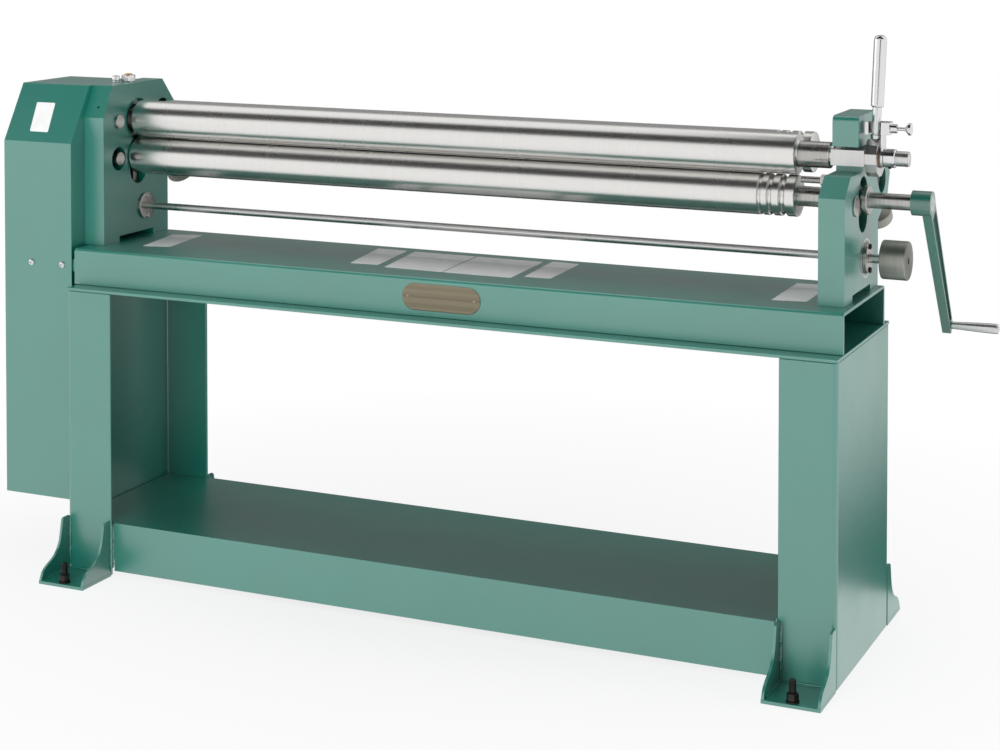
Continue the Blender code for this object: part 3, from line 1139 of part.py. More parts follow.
def build_crank():
    """The crank: hub, channelled arm and spindle in one piece, and the turning grip."""
    down = Vector((0, math.sin(CRANK_ANGLE), -math.cos(CRANK_ANGLE)))
    across = Vector((0, math.cos(CRANK_ANGLE), math.sin(CRANK_ANGLE)))
    hub = Vector((0, ROLL_Y, LOWER_Z))
    arm_middle = HUB_OUT - CRANK_ARM_THICK / 2
    tip = CRANK_THROW + CRANK_TIP_BEYOND
    root, end = CRANK_ROOT_HALF_WIDTH, CRANK_TIP_HALF_WIDTH
    crank = rod("crank_arm", CRANK_HUB_RADIUS, *along_x(HUB_IN, HUB_OUT, ROLL_Y, LOWER_Z))
    arm = plate("arm", [(-root, 0), (root, 0), (end, tip), (-end, tip)], CRANK_ARM_THICK,
                hub + Vector((arm_middle, 0, 0)), across, down)
    grip = hub + down * CRANK_THROW
    spindle_end = GRIP_IN + GRIP_LENGTH - GRIP_FLOOR - GAP
    spindle = rod("spindle", CRANK_SPINDLE_RADIUS,
                  *along_x(HUB_OUT - CRANK_ARM_THICK / 2, spindle_end, grip.y, grip.z),
                  SMALL_SIDES)
    join(crank, arm, spindle)
    start = CRANK_HUB_RADIUS + CRANK_RIM
    stop = CRANK_THROW - CRANK_TIP_BEYOND
    wide = root + (end - root) * start / tip - CRANK_RIM
    narrow = root + (end - root) * stop / tip - CRANK_RIM
    recess = plate("arm_recess", [(-wide, start), (wide, start), (narrow, stop), (-narrow, stop)],
                   CRANK_RECESS + OVERRUN,
                   hub + Vector((HUB_OUT + (OVERRUN - CRANK_RECESS) / 2, 0, 0)), across, down)
    bore = rod("hub_bore", SHAFT_RADIUS + GAP,
               *along_x(HUB_IN - OVERRUN, HUB_OUT - CRANK_BORE_WALL, ROLL_Y, LOWER_Z))
    dress(cut(crank, recess, bore), PAINT)
    length = GRIP_LENGTH
    inner = CRANK_SPINDLE_RADIUS + GAP
    edge = GRIP_TIP_RADIUS - GRIP_ROOT_RADIUS
    profile = [(length, 0), (length, GRIP_ROOT_RADIUS), (length - edge, GRIP_TIP_RADIUS),
               (length * GRIP_SWELL_SHARE, GRIP_TIP_RADIUS), (0, GRIP_ROOT_RADIUS), (0, inner),
               (length - GRIP_FLOOR, inner), (length - GRIP_FLOOR, 0)]
    dress(turned("crank_grip", profile, (GRIP_IN, grip.y, grip.z), sides=SMALL_SIDES + 4), STEEL)


def gear_outline(teeth, phase):
    """An involute gear's outline, with one tooth pointing along the phase angle."""
    pitch_radius = MODULE * teeth / 2
    base = pitch_radius * math.cos(PRESSURE_ANGLE)
    tip = pitch_radius + GEAR_ADDENDUM_SHARE * MODULE
    root = pitch_radius - GEAR_DEDENDUM_SHARE * MODULE
    start = max(base, root)
    half_pitch_tooth = (math.pi / 2 * MODULE - GEAR_BACKLASH) / 2 / pitch_radius
    at_pitch = math.tan(PRESSURE_ANGLE) - PRESSURE_ANGLE

    def half_width(radius):
        turn = math.acos(min(1, base / radius))
        return half_pitch_tooth + at_pitch - (math.tan(turn) - turn)

    flank = [(start + (tip - start) * n / FLANK_STEPS) for n in range(FLANK_STEPS + 1)]
    points = []
    for tooth in range(teeth):
        middle = phase + tooth * math.tau / teeth
        rising = [(root, -half_width(start))] + [(r, -half_width(r)) for r in flank]
        falling = [(r, -a) for r, a in reversed(rising)]
        points += [(r * math.cos(middle + a), r * math.sin(middle + a))
                   for r, a in rising + falling]
    return points


def meshing_phase(phase, teeth, direction, next_teeth):
    """The phase of the next gear, whose teeth stand in the first gear's gaps."""
    pitch, next_pitch = math.tau / teeth, math.tau / next_teeth
    share = ((direction - phase) / pitch) % 1
    return direction + math.pi + share * next_pitch + next_pitch / 2


def build_gears():
    """The four gears that turn the upper roll against the lower one, and the idlers' pins."""
    low_gear = 0
    low_idler = meshing_phase(low_gear, ROLL_GEAR_TEETH, math.pi, IDLER_TEETH)
    high_idler = meshing_phase(low_idler, IDLER_TEETH, math.pi / 2, IDLER_TEETH)
    high_gear = meshing_phase(high_idler, IDLER_TEETH, 0, ROLL_GEAR_TEETH)
    middle = (GEAR_LEFT + GEAR_RIGHT) / 2
    for name, teeth, phase, y, z in (
            ("lower_roll_gear", ROLL_GEAR_TEETH, low_gear, ROLL_Y, LOWER_Z),
            ("lower_idler", IDLER_TEETH, low_idler, IDLER_Y, LOWER_Z),
            ("upper_idler", IDLER_TEETH, high_idler, IDLER_Y, UPPER_Z),
            ("upper_roll_gear", ROLL_GEAR_TEETH, high_gear, ROLL_Y, UPPER_Z)):
        bore = arc((0, 0), SHAFT_RADIUS + GAP, 0, 360, SIDES)[:-1]
        dress(plate(name, gear_outline(teeth, phase), GEAR_WIDTH, (middle, y, z),
                    holes=[bore]), STEEL)
    for name, z in (("lower_idler_pin", LOWER_Z), ("upper_idler_pin", UPPER_Z)):
        dress(rod(name, IDLER_PIN_RADIUS,
                  *along_x(SHAFT_LEFT, LEFT_IN + IDLER_PIN_PROUD, IDLER_Y, z)), DARK_STEEL)


def cover_outline(sheet):
    """The gear cover's outline across the machine, drawn in by a sheet's thickness."""
    crease = FRAME_TOP - COVER_CREASE_DROP
    run = COVER_FRONT - COVER_TOP_FRONT
    slope = math.hypot(run, COVER_CREASE_DROP)
    top_in = sheet * (slope - run) / COVER_CREASE_DROP
    crease_down = sheet * (slope - COVER_CREASE_DROP) / run
    front, rear = -COVER_FRONT + sheet, COVER_REAR - sheet
    return [(front, COVER_BOTTOM), (rear, COVER_BOTTOM), (rear, crease - crease_down),
            (COVER_TOP_REAR - top_in, FRAME_TOP - sheet),
            (-COVER_TOP_FRONT + top_in, FRAME_TOP - sheet), (front, crease - crease_down)]


def build_gear_cover():
    """The sheet cover over the gears, open below, and the strip and screws that hold it."""
    middle = (COVER_LEFT + COVER_RIGHT) / 2
    cover = plate("gear_cover", cover_outline(0), COVER_WIDTH, (middle, 0, 0))
    inner = [(y, z - (OVERRUN if z == COVER_BOTTOM else 0)) for y, z in cover_outline(COVER_SHEET)]
    hollow = plate("cover_hollow", inner, COVER_WIDTH - 2 * COVER_SHEET, (middle, 0, 0))
    window = box("cover_window",
                 (COVER_RIGHT - COVER_SHEET - OVERRUN, -COVER_WINDOW_FRONT, COVER_WINDOW_BOTTOM),
                 (COVER_RIGHT + OVERRUN, COVER_WINDOW_REAR, FRAME_TOP - COVER_WINDOW_TOP_DROP))
    strip_low = BED_BOTTOM + STRIP_LOW
    strip_high = strip_low + STRIP_HEIGHT
    strip_front = -BED_HALF_DEPTH + BED_SHEET + GAP
    strip_rear = strip_front + STRIP_THICK
    strip_slot = box("strip_slot",
                     (COVER_RIGHT - COVER_SHEET - OVERRUN, -COVER_FRONT + COVER_SHEET,
                      strip_low - STRIP_SLOT_ROOM),
                     (COVER_RIGHT + OVERRUN, strip_rear + STRIP_SLOT_ROOM,
                      strip_high + STRIP_SLOT_ROOM))
    cut(cover, hollow, window, strip_slot)
    strip = box("cover_bracket", (COVER_RIGHT - STRIP_IN_COVER, strip_front, strip_low),
                (BED_LEFT + STRIP_IN_BED, strip_rear, strip_high))
    screw_z = (strip_low + strip_high) / 2
    for name, place in (("outer", COVER_SCREW_OUTER), ("inner", COVER_SCREW_INNER)):
        x = COVER_LEFT + place
        hole = COVER_SCREW_RADIUS + GAP
        cut(cover, rod("cover_hole_" + name, hole, (x, -COVER_FRONT - OVERRUN, screw_z),
                       (x, -COVER_FRONT + COVER_SHEET + OVERRUN, screw_z), SMALL_SIDES))
        cut(strip, rod("strip_hole_" + name, hole, (x, strip_front - OVERRUN, screw_z),
                       (x, strip_rear + OVERRUN, screw_z), SMALL_SIDES))
        head = COVER_SCREW_HEAD
        face = -COVER_FRONT - GAP
        length = strip_rear - face
        profile = [(head, 0), (head, COVER_SCREW_HEAD_RADIUS / 2),
                   (head / 2, COVER_SCREW_HEAD_RADIUS), (0, COVER_SCREW_HEAD_RADIUS),
                   (0, COVER_SCREW_RADIUS), (-length, COVER_SCREW_RADIUS), (-length, 0)]
        dress(turned(f"cover_screw_{name}", profile, (x, face, screw_z), (0, -1, 0),
                     SMALL_SIDES), DARK_STEEL)
    dress(cover, PAINT)
    dress(strip, STEEL)


def joint_marks():
    """Empties on the joint axes, by name, each with the pieces and marks that it carries."""
    roll = Vector((0, ROLL_Y, LOWER_Z))
    upper = Vector((0, ROLL_Y, UPPER_Z))
    down = Vector((0, math.sin(CRANK_ANGLE), -math.cos(CRANK_ANGLE)))
    return (
        ("lower_carriage", roll, None,
         ("lower_left_block", "lower_right_block", "lower_idler_pin")),
        ("lower_roll_axis", roll, "lower_carriage",
         ("lower_roll", "lower_roll_gear", "lower_thrust_ring", "crank_arm")),
        ("crank_grip_axis", roll + down * CRANK_THROW, "lower_roll_axis", ("crank_grip",)),
        ("lower_idler_axis", Vector((0, IDLER_Y, LOWER_Z)), "lower_carriage", ("lower_idler",)),
        ("upper_idler_axis", Vector((0, IDLER_Y, UPPER_Z)), None, ("upper_idler",)),
        ("upper_swing_axis", Vector((LEFT_MID, ROLL_Y, UPPER_Z)), None,
         ("upper_left_bearing", "upper_right_block", "brass_washer", "lock_bracket",
          "spigot_collar")),
        ("upper_roll_axis", upper, "upper_swing_axis", ("upper_roll", "upper_roll_gear")),
        ("cam_axis", upper, "upper_swing_axis", ("cam_ring", "cam_lever")),
        ("thumb_screw_axis", Vector((0, ROLL_Y, UPPER_Z + (BRACKET_LOW + BRACKET_HIGH) / 2)),
         "upper_swing_axis", ("thumb_screw",)),
        ("rear_carriage", REAR_AXIS.copy(), None, ("rear_left_block", "rear_right_block")),
        ("rear_roll_axis", REAR_AXIS.copy(), "rear_carriage", ("rear_roll",)),
        ("rear_screw_left_axis", Vector((LEFT_MID, REAR_Y, REAR_Z)), "rear_carriage",
         ("rear_screw_left",)),
        ("rear_screw_right_axis", Vector((RIGHT_MID, REAR_Y, REAR_Z)), "rear_carriage",
         ("rear_screw_right",)),
        ("lift_axis", Vector((0, ROD_Y, ROD_Z)), None, ("lift_rod", "lift_knob")))


def parent_in_place(child, parent):
    """Parents a piece without moving it."""
    child.parent = parent
    child.matrix_parent_inverse = parent.matrix_world.inverted()


def place_joint_marks():
    """Puts an empty on each joint axis and hangs the moving pieces on it."""
    marks = {}
    for name, place, carrier, pieces in joint_marks():
        mark = mesh_object(name, None, place)
        marks[name] = mark
        bpy.context.view_layer.update()
        if carrier:
            parent_in_place(mark, marks[carrier])
        for piece in pieces:
            parent_in_place(bpy.data.objects[piece], mark)
    bpy.context.view_layer.update()


def main():
    """Builds the slip roll."""
    clear_scene()
    build_stand()
    build_bed()
    build_frame_bolts()
    build_frames()
    build_rolls()
    build_carriages()
    build_upper_ends()
    build_crank()
    build_gears()
    build_gear_cover()
    place_joint_marks()


main()
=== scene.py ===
"""Looks of a hand-cranked slip roll: enamel, ground rolls, chrome lock gear and small trim.

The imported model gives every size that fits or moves.  This script softens its sheet metal
and castings, turns its round pieces finely, adds trim, and dresses every surface.  Sizes
are in millimetres in the shared frame, unless a docstring gives another unit.
"""

from __future__ import annotations

import json
import logging
import math
from collections.abc import Iterable, Sequence
from dataclasses import dataclass
from enum import Enum

import bmesh
import bpy
from mathutils import Matrix, Vector

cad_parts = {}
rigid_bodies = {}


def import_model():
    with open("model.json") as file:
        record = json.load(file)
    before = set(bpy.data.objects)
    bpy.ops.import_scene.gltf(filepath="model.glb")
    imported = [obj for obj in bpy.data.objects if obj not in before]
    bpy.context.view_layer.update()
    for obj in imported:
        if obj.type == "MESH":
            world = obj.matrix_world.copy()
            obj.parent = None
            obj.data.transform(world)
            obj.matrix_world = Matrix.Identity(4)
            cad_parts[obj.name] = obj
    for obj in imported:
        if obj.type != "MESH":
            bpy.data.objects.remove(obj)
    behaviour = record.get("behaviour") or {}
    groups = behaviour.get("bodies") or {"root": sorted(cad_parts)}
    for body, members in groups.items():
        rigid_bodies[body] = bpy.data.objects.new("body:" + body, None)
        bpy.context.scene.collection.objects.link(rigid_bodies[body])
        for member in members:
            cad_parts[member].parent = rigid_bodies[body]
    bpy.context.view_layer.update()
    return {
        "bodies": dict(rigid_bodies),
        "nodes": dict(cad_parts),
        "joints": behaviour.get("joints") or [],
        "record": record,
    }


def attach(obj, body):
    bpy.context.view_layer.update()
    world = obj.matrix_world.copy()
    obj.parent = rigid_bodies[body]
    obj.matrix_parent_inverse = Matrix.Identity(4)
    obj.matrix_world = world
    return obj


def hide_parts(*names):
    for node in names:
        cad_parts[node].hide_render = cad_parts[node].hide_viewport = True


LOG = logging.getLogger("slip_roll")

Form = bmesh.types.BMesh
Socket = bpy.types.NodeSocket
Point = tuple[float, float, float]
Profile = Sequence[tuple[float, float]]

MM = 0.001
FULL_TURN = 2 * math.pi
SAME_POINT_M = 0.000004
SAME_POINT_MM = 0.0005
SHORTEST_BEVELLED_M = 0.0002
FLAT_DEG = 0.6
MANY_CORNERS = 8
ALONG = (1.0, 0.0, 0.0)
OUTWARD = (0.0, -1.0, 0.0)
UPWARD = (0.0, 0.0, 1.0)

ROLL_Y = 28.0
LOWER_Z = 808.4
UPPER_Z = 884.4
REAR_Y = 130.0
REAR_Z = 875.4
ROD_Y = 52.0
ROD_Z = 701.0
LOWER_AXIS = (0.0, ROLL_Y, LOWER_Z)
UPPER_AXIS = (0.0, ROLL_Y, UPPER_Z)
REAR_AXIS = (0.0, REAR_Y, REAR_Z)
ROD_AXIS = (0.0, ROD_Y, ROD_Z)
ROLL_RADIUS = 37.5
BODY_RIGHT = 646.85


class Body(str, Enum):
    """The moving bodies that pieces ride on."""

    STAND = "stand_and_frames"
    LOWER_CARRIAGE = "lower_carriage"
    LOWER_SHAFT = "lower_roll_shaft"
    GRIP = "grip"
    UPPER_CARRIER = "upper_carrier"
    UPPER_SHAFT = "upper_roll_shaft"
    CAM = "cam"
    THUMB = "thumb_lock"
    REAR_CARRIAGE = "rear_carriage"
    REAR_ROLL = "rear_roll_body"
    KNOB_LEFT = "rear_knob_left"
    KNOB_RIGHT = "rear_knob_right"
    LIFT = "lift_gear"


class Slot(str, Enum):
    """The record's material slots."""

    PAINT = "paint"
    CAST = "cast_paint"
    STEEL = "ground_steel"
    DARK = "dark_steel"
    CHROME = "bright_chrome"
    BRASS = "washer_brass"
    KNOB = "knob_metal"


class SocketKind(str, Enum):
    """What a group's socket carries."""

    FLOAT = "NodeSocketFloat"
    VECTOR = "NodeSocketVector"
    COLOR = "NodeSocketColor"


@dataclass(frozen=True)
class Nodes:
    """A short way to add shader nodes to one tree and link them."""

    tree: bpy.types.NodeTree

    def feed(self, node: bpy.types.Node, inputs: dict) -> None:
        """Sets or links the inputs of a node.

        Args:
            node: The node.
            inputs: Socket names with a value, or with a socket to link from.
        """
        for name, value in inputs.items():
            if isinstance(value, Socket):
                self.tree.links.new(value, node.inputs[name])
            else:
                node.inputs[name].default_value = value

    def add(self, kind: str, inputs: dict | None = None, **settings: object) -> bpy.types.Node:
        """Adds a node.

        Args:
            kind: The node's type name, without its ShaderNode start for common nodes.
            inputs: Socket names with a value, or with a socket to link from.
            settings: Attributes of the node.

        Returns:
            The new node.
        """
        node = self.tree.nodes.new(kind if kind.startswith("Node") else "ShaderNode" + kind)
        for name, value in settings.items():
            setattr(node, name, value)
        self.feed(node, inputs or {})
        return node

    def group(self, tree: bpy.types.NodeTree, inputs: dict) -> bpy.types.NodeOutputs:
        """Adds a shared group and gives its outputs."""
        return self.add("Group", inputs, node_tree=tree).outputs

    def place(self) -> Socket:
        """Gives the pattern's coordinates, which keep to the object."""
        return self.add("TexCoord").outputs["Object"]

    def math(self, operation: str, first: object, second: object) -> Socket:
        """Adds a math node on two values or sockets and gives its output."""
        return self.add("Math", {0: first, 1: second}, operation=operation).outputs[0]

    def noise(self, place: Socket, scale: object, detail: float,
              roughness: float = 0.5) -> Socket:
        """Adds a noise pattern and gives its value."""
        return self.add("TexNoise", {"Vector": place, "Scale": scale, "Detail": detail,
                                     "Roughness": roughness}).outputs[0]

    def ramp(self, factor: Socket, low: float, high: float,
             start: float = 0.0, end: float = 1.0) -> Socket:
        """Maps a factor from low and high to start and end, clamped."""
        return self.add("MapRange", {"Value": factor, "From Min": low, "From Max": high,
                                     "To Min": start, "To Max": end}).outputs["Result"]

    def mix(self, factor: object, first: object, second: object) -> Socket:
        """Mixes two colours, the first at factor 0."""
        return self.add("Mix", {0: factor, 6: first, 7: second}, data_type="RGBA").outputs[2]

    def seen_directly(self) -> Socket:
        """Tells rays that come from the camera, a mirror or glass.

        Returns:
            The mask's socket.
        """
        path = self.add("LightPath").outputs
        first = self.math("MAXIMUM", path["Is Camera Ray"], path["Is Glossy Ray"])
        return self.math("MAXIMUM", first, path["Is Transmission Ray"])


def new_group(name: str, inputs: Iterable[tuple[str, SocketKind, object]],
              outputs: Iterable[tuple[str, SocketKind]]) -> tuple[Nodes, bpy.types.NodeOutputs]:
    """Starts a shader node group whose first input is the pattern's coordinates.

    Args:
        name: The group's name.
        inputs: Names, socket kinds and default values of its other inputs.
        outputs: Names and socket kinds.

    Returns:
        The group's node adder and the sockets of its inputs.
    """
    tree = bpy.data.node_groups.new(name, "ShaderNodeTree")
    for label, kind, value in (("Vector", SocketKind.VECTOR, (0, 0, 0)), *inputs):
        socket = tree.interface.new_socket(label, in_out="INPUT", socket_type=kind.value)
        socket.default_value = value
    for label, kind in outputs:
        tree.interface.new_socket(label, in_out="OUTPUT", socket_type=kind.value)
    nodes = Nodes(tree)
    return nodes, nodes.add("NodeGroupInput").outputs


class Effects:
    """The shared shader groups: sprayed skin, drift of tone, dust, and machining marks."""

    def __init__(self) -> None:
        """Builds each group once."""
        self.skin = self._sprayed_skin()
        self.drift = self._tone_drift()
        self.turning = self._turning_marks()
        self.dust = self._settled_dust()
        self.casting = self._cast_skin()

    @staticmethod
    def _sprayed_skin() -> bpy.types.NodeTree:
        """The fine orange peel of sprayed enamel.

        Returns:
            A group that gives a height and a small change of roughness.
        """
        nodes, given = new_group("sprayed_skin", [("Scale", SocketKind.FLOAT, 500.0)],
                                 [("Height", SocketKind.FLOAT), ("Patch", SocketKind.FLOAT)])
        peel = nodes.noise(given[0], given[1], 2.0, 0.55)
        patch = nodes.noise(given[0], nodes.math("MULTIPLY", given[1], 0.02), 3.0)
        nodes.add("NodeGroupOutput", {"Height": peel, "Patch": patch})
        return nodes.tree

    @staticmethod
    def _tone_drift() -> bpy.types.NodeTree:
        """Slow, faint changes of a colour's tone.

        Returns:
            A group that gives a colour.
        """
        white = (1, 1, 1, 1)
        nodes, given = new_group("tone_drift", [("Color", SocketKind.COLOR, white),
                                                ("Other", SocketKind.COLOR, white),
                                                ("Scale", SocketKind.FLOAT, 4.0)],
                                 [("Color", SocketKind.COLOR)])
        share = nodes.ramp(nodes.noise(given[0], given[3], 4.0, 0.6), 0.35, 0.65)
        nodes.add("NodeGroupOutput", {"Color": nodes.mix(share, given[1], given[2])})
        return nodes.tree

    @staticmethod
    def _turning_marks() -> bpy.types.NodeTree:
        """Rings left by a lathe or a grinder, square to the X axis of the pattern.

        Returns:
            A group that gives a height, a streak mask and a broad band mask.
        """
        nodes, given = new_group("turning_marks", [("Fineness", SocketKind.FLOAT, 1500.0)],
                                 [("Height", SocketKind.FLOAT), ("Streak", SocketKind.FLOAT),
                                  ("Band", SocketKind.FLOAT)])
        flat = nodes.add("VectorMath", {0: given[0], 1: (1.0, 0.004, 0.004)},
                         operation="MULTIPLY").outputs[0]
        rings = nodes.noise(flat, given[1], 3.0, 0.7)
        streak = nodes.noise(flat, nodes.math("MULTIPLY", given[1], 0.12), 4.0, 0.7)
        band = nodes.noise(flat, nodes.math("MULTIPLY", given[1], 0.012), 2.0)
        nodes.add("NodeGroupOutput", {"Height": rings, "Streak": streak, "Band": band})
        return nodes.tree

    @staticmethod
    def _settled_dust() -> bpy.types.NodeTree:
        """Faint dust that lies on upward faces in small flecks.

        Returns:
            A group that gives a mask.
        """
        nodes, given = new_group("settled_dust", [("Amount", SocketKind.FLOAT, 0.2)],
                                 [("Mask", SocketKind.FLOAT)])
        normal = nodes.add("NewGeometry").outputs["True Normal"]
        up = nodes.add("SeparateXYZ", {0: normal}).outputs[2]
        fleck = nodes.ramp(nodes.noise(given[0], 60.0, 6.0, 0.75), 0.45, 0.75)
        lying = nodes.math("MULTIPLY", fleck, nodes.ramp(up, 0.6, 1.0))
        nodes.add("NodeGroupOutput", {"Mask": nodes.math("MULTIPLY", lying, given[1])})
        return nodes.tree

    @staticmethod
    def _cast_skin() -> bpy.types.NodeTree:
        """The lumpy skin of a painted casting.

        Returns:
            A group that gives a height.
        """
        nodes, given = new_group("cast_skin", [], [("Height", SocketKind.FLOAT)])
        lump = nodes.noise(given[0], 90.0, 4.0, 0.6)
        grit = nodes.math("MULTIPLY", nodes.noise(given[0], 420.0, 2.0), 0.4)
        nodes.add("NodeGroupOutput", {"Height": nodes.math("ADD", lump, grit)})
        return nodes.tree


def start_material(name: str) -> tuple[bpy.types.Material, Nodes, bpy.types.Node]:
    """Starts a node material.

    Args:
        name: The material's name.

    Returns:
        The material, its node adder and its Principled BSDF.
    """
    material = bpy.data.materials.new(name)
    material.use_nodes = True
    return material, Nodes(material.node_tree), material.node_tree.nodes["Principled BSDF"]


def show(material: bpy.types.Material, surface: Socket) -> None:
    """Makes a shader the whole surface of a material."""
    output = material.node_tree.nodes["Material Output"]
    material.node_tree.links.new(surface, output.inputs["Surface"])


@dataclass(frozen=True)
class Enamel:
    """Sprayed machine enamel, on sheet metal or on a casting.

    Attributes:
        name: The finish's name.
        color: The paint's colour, linear.
        other: The tone that the colour drifts to.
        roughness: How matt the paint is.
        peel: The height of the orange peel, in metres.
        lumps: The height of a casting's lumps under the paint, in metres, or 0.
        sheen: How much clear gloss lies over the colour.
        dust: How much dust lies on its upward faces.
        dust_color: The dust's colour, linear.
    """

    name: str
    color: Point
    other: Point
    roughness: float = 0.40
    peel: float = 0.00005
    lumps: float = 0.0
    sheen: float = 1.0
    dust: float = 0.03
    dust_color: Point = (0.45, 0.47, 0.45)

    def material(self, effects: Effects) -> bpy.types.Material:
        """Builds the material.

        Args:
            effects: The shared shader groups.

        Returns:
            The material.
        """
        material, nodes, shader = start_material(self.name)
        place = nodes.place()
        skin = nodes.group(effects.skin, {"Vector": place})
        tone = nodes.group(effects.drift, {"Vector": place, "Color": (*self.color, 1),
                                           "Other": (*self.other, 1), "Scale": 3.0})
        dust = nodes.group(effects.dust, {"Vector": place, "Amount": self.dust})
        last = nodes.add("Bump", {"Height": skin["Height"], "Strength": 0.5,
                                  "Distance": self.peel})
        if self.lumps:
            casting = nodes.group(effects.casting, {"Vector": place})
            last = nodes.add("Bump", {"Height": casting["Height"], "Strength": 0.5,
                                      "Distance": self.lumps, "Normal": last.outputs[0]})
        nodes.feed(shader, {
            "Base Color": nodes.mix(dust["Mask"], tone["Color"], (*self.dust_color, 1)),
            "Roughness": nodes.ramp(skin["Patch"], 0.3, 0.7, self.roughness - 0.05,
                                    self.roughness + 0.07),
            "Specular IOR Level": 0.5,
            "Coat Weight": self.sheen,
            "Coat Roughness": 0.32,
            "Coat IOR": 2.2,
            "Normal": last.outputs[0]})
        return material


@dataclass(frozen=True)
class MachinedMetal:
    """Turned, ground or polished metal.

    Attributes:
        name: The finish's name.
        color: The metal's colour, linear.
        dark: The colour in its darker streaks.
        roughness: How dull the metal is.
        marks: The height of its machining marks, in metres.
        fineness: How fine the marks are.
        axis: Which way the marks' rings are square to: 0 for X, 1 for Y, 2 for Z.
        uneven: How much the dullness varies from ring to ring, as a share.
    """

    name: str
    color: Point
    dark: Point
    roughness: float
    marks: float = 0.00001
    fineness: float = 1500.0
    axis: int = 0
    uneven: float = 0.18

    def material(self, effects: Effects) -> bpy.types.Material:
        """Builds the material.

        Args:
            effects: The shared shader groups.

        Returns:
            The material.
        """
        material, nodes, shader = start_material(self.name)
        turns = ((0, 0, 0), (0, 0, math.pi / 2), (0, math.pi / 2, 0))
        turned = nodes.add("Mapping", {"Vector": nodes.place(), "Rotation": turns[self.axis]})
        marks = nodes.group(effects.turning, {"Vector": turned.outputs[0],
                                              "Fineness": self.fineness})
        streak = nodes.ramp(marks["Streak"], 0.3, 0.7)
        bump = nodes.add("Bump", {"Height": marks["Height"], "Strength": 0.6,
                                  "Distance": self.marks})
        nodes.feed(shader, {
            "Base Color": nodes.mix(streak, (*self.dark, 1), (*self.color, 1)),
            "Roughness": nodes.ramp(marks["Band"], 0.3, 0.7,
                                    self.roughness * (1 - self.uneven),
                                    self.roughness * (1 + self.uneven)),
            "Normal": bump.outputs[0],
            "Metallic": 1.0})
        return material


@dataclass(frozen=True)
class BlankLabel:
    """A bare printed label: plain, slightly glossy film."""

    name: str = "blank_label"
    color: Point = (0.90, 0.90, 0.89)
    shade: float = 0.93

    def material(self, effects: Effects) -> bpy.types.Material:
        """Builds the material.

        Args:
            effects: The shared shader groups.

        Returns:
            The material.
        """
        material, nodes, shader = start_material(self.name)
        place = nodes.place()
        other = (*(self.shade * part for part in self.color), 1)
        tone = nodes.group(effects.drift, {"Vector": place, "Color": (*self.color, 1),
                                           "Other": other, "Scale": 40.0})
        skin = nodes.group(effects.skin, {"Vector": place})
        bump = nodes.add("Bump", {"Height": skin["Height"], "Strength": 0.3,
                                  "Distance": 0.00002})
        nodes.feed(shader, {"Base Color": tone["Color"], "Normal": bump.outputs[0],
                            "Roughness": 0.32})
        return material


GREEN = (0.003, 0.168, 0.126)
DEEP_GREEN = (0.003, 0.152, 0.113)
FINISHES = (
    Enamel("sheet_enamel", GREEN, DEEP_GREEN),
    Enamel("cast_enamel", GREEN, DEEP_GREEN, roughness=0.36, peel=0.00006, lumps=0.0004),
    Enamel("crank_enamel", (0.004, 0.105, 0.074), (0.003, 0.088, 0.062), roughness=0.30,
           peel=0.00004, lumps=0.0004, sheen=0.8),
    MachinedMetal("ground_roll", (0.80, 0.79, 0.77), (0.775, 0.765, 0.745), 0.27,
                  marks=0.000001, fineness=1400.0, uneven=0.03),
    MachinedMetal("turned_steel", (0.56, 0.55, 0.53), (0.40, 0.39, 0.37), 0.28,
                  fineness=2400.0),
    MachinedMetal("satin_steel", (0.70, 0.70, 0.69), (0.65, 0.65, 0.64), 0.30,
                  marks=0.000006, fineness=1900.0),
    MachinedMetal("worn_rim", (0.70, 0.71, 0.69), (0.55, 0.56, 0.54), 0.36),
    MachinedMetal("bright_chrome", (0.77, 0.77, 0.77), (0.72, 0.72, 0.72), 0.15,
                  marks=0.000002, fineness=900.0),
    MachinedMetal("black_steel", (0.055, 0.052, 0.050), (0.035, 0.033, 0.032), 0.42,
                  marks=0.00002, fineness=900.0, axis=2),
    MachinedMetal("dark_iron", (0.20, 0.19, 0.175), (0.11, 0.105, 0.095), 0.40,
                  marks=0.00002, fineness=700.0, axis=1),
    MachinedMetal("gear_steel", (0.34, 0.32, 0.29), (0.20, 0.19, 0.17), 0.38,
                  fineness=1200.0),
    MachinedMetal("bearing_brass", (0.72, 0.50, 0.20), (0.55, 0.36, 0.13), 0.28,
                  fineness=1800.0),
    MachinedMetal("worn_bronze", (0.42, 0.30, 0.17), (0.22, 0.15, 0.085), 0.34),
    MachinedMetal("knob_alloy", (0.42, 0.415, 0.38), (0.35, 0.345, 0.31), 0.44,
                  marks=0.00002),
    MachinedMetal("plate_metal", (0.34, 0.30, 0.22), (0.20, 0.17, 0.115), 0.42,
                  marks=0.00003, fineness=500.0, axis=2),
    BlankLabel(),
)


@dataclass(frozen=True)
class Dress:
    """How a piece is dressed.

    Attributes:
        finish: The material's name.
        slot: The record's slot, if it has one; it is not used.
        body: The body that the piece moves with.
    """

    finish: str
    slot: Slot | None
    body: Body = Body.STAND


PAINTED = Dress("sheet_enamel", Slot.PAINT)
LABELLED = Dress("blank_label", None)


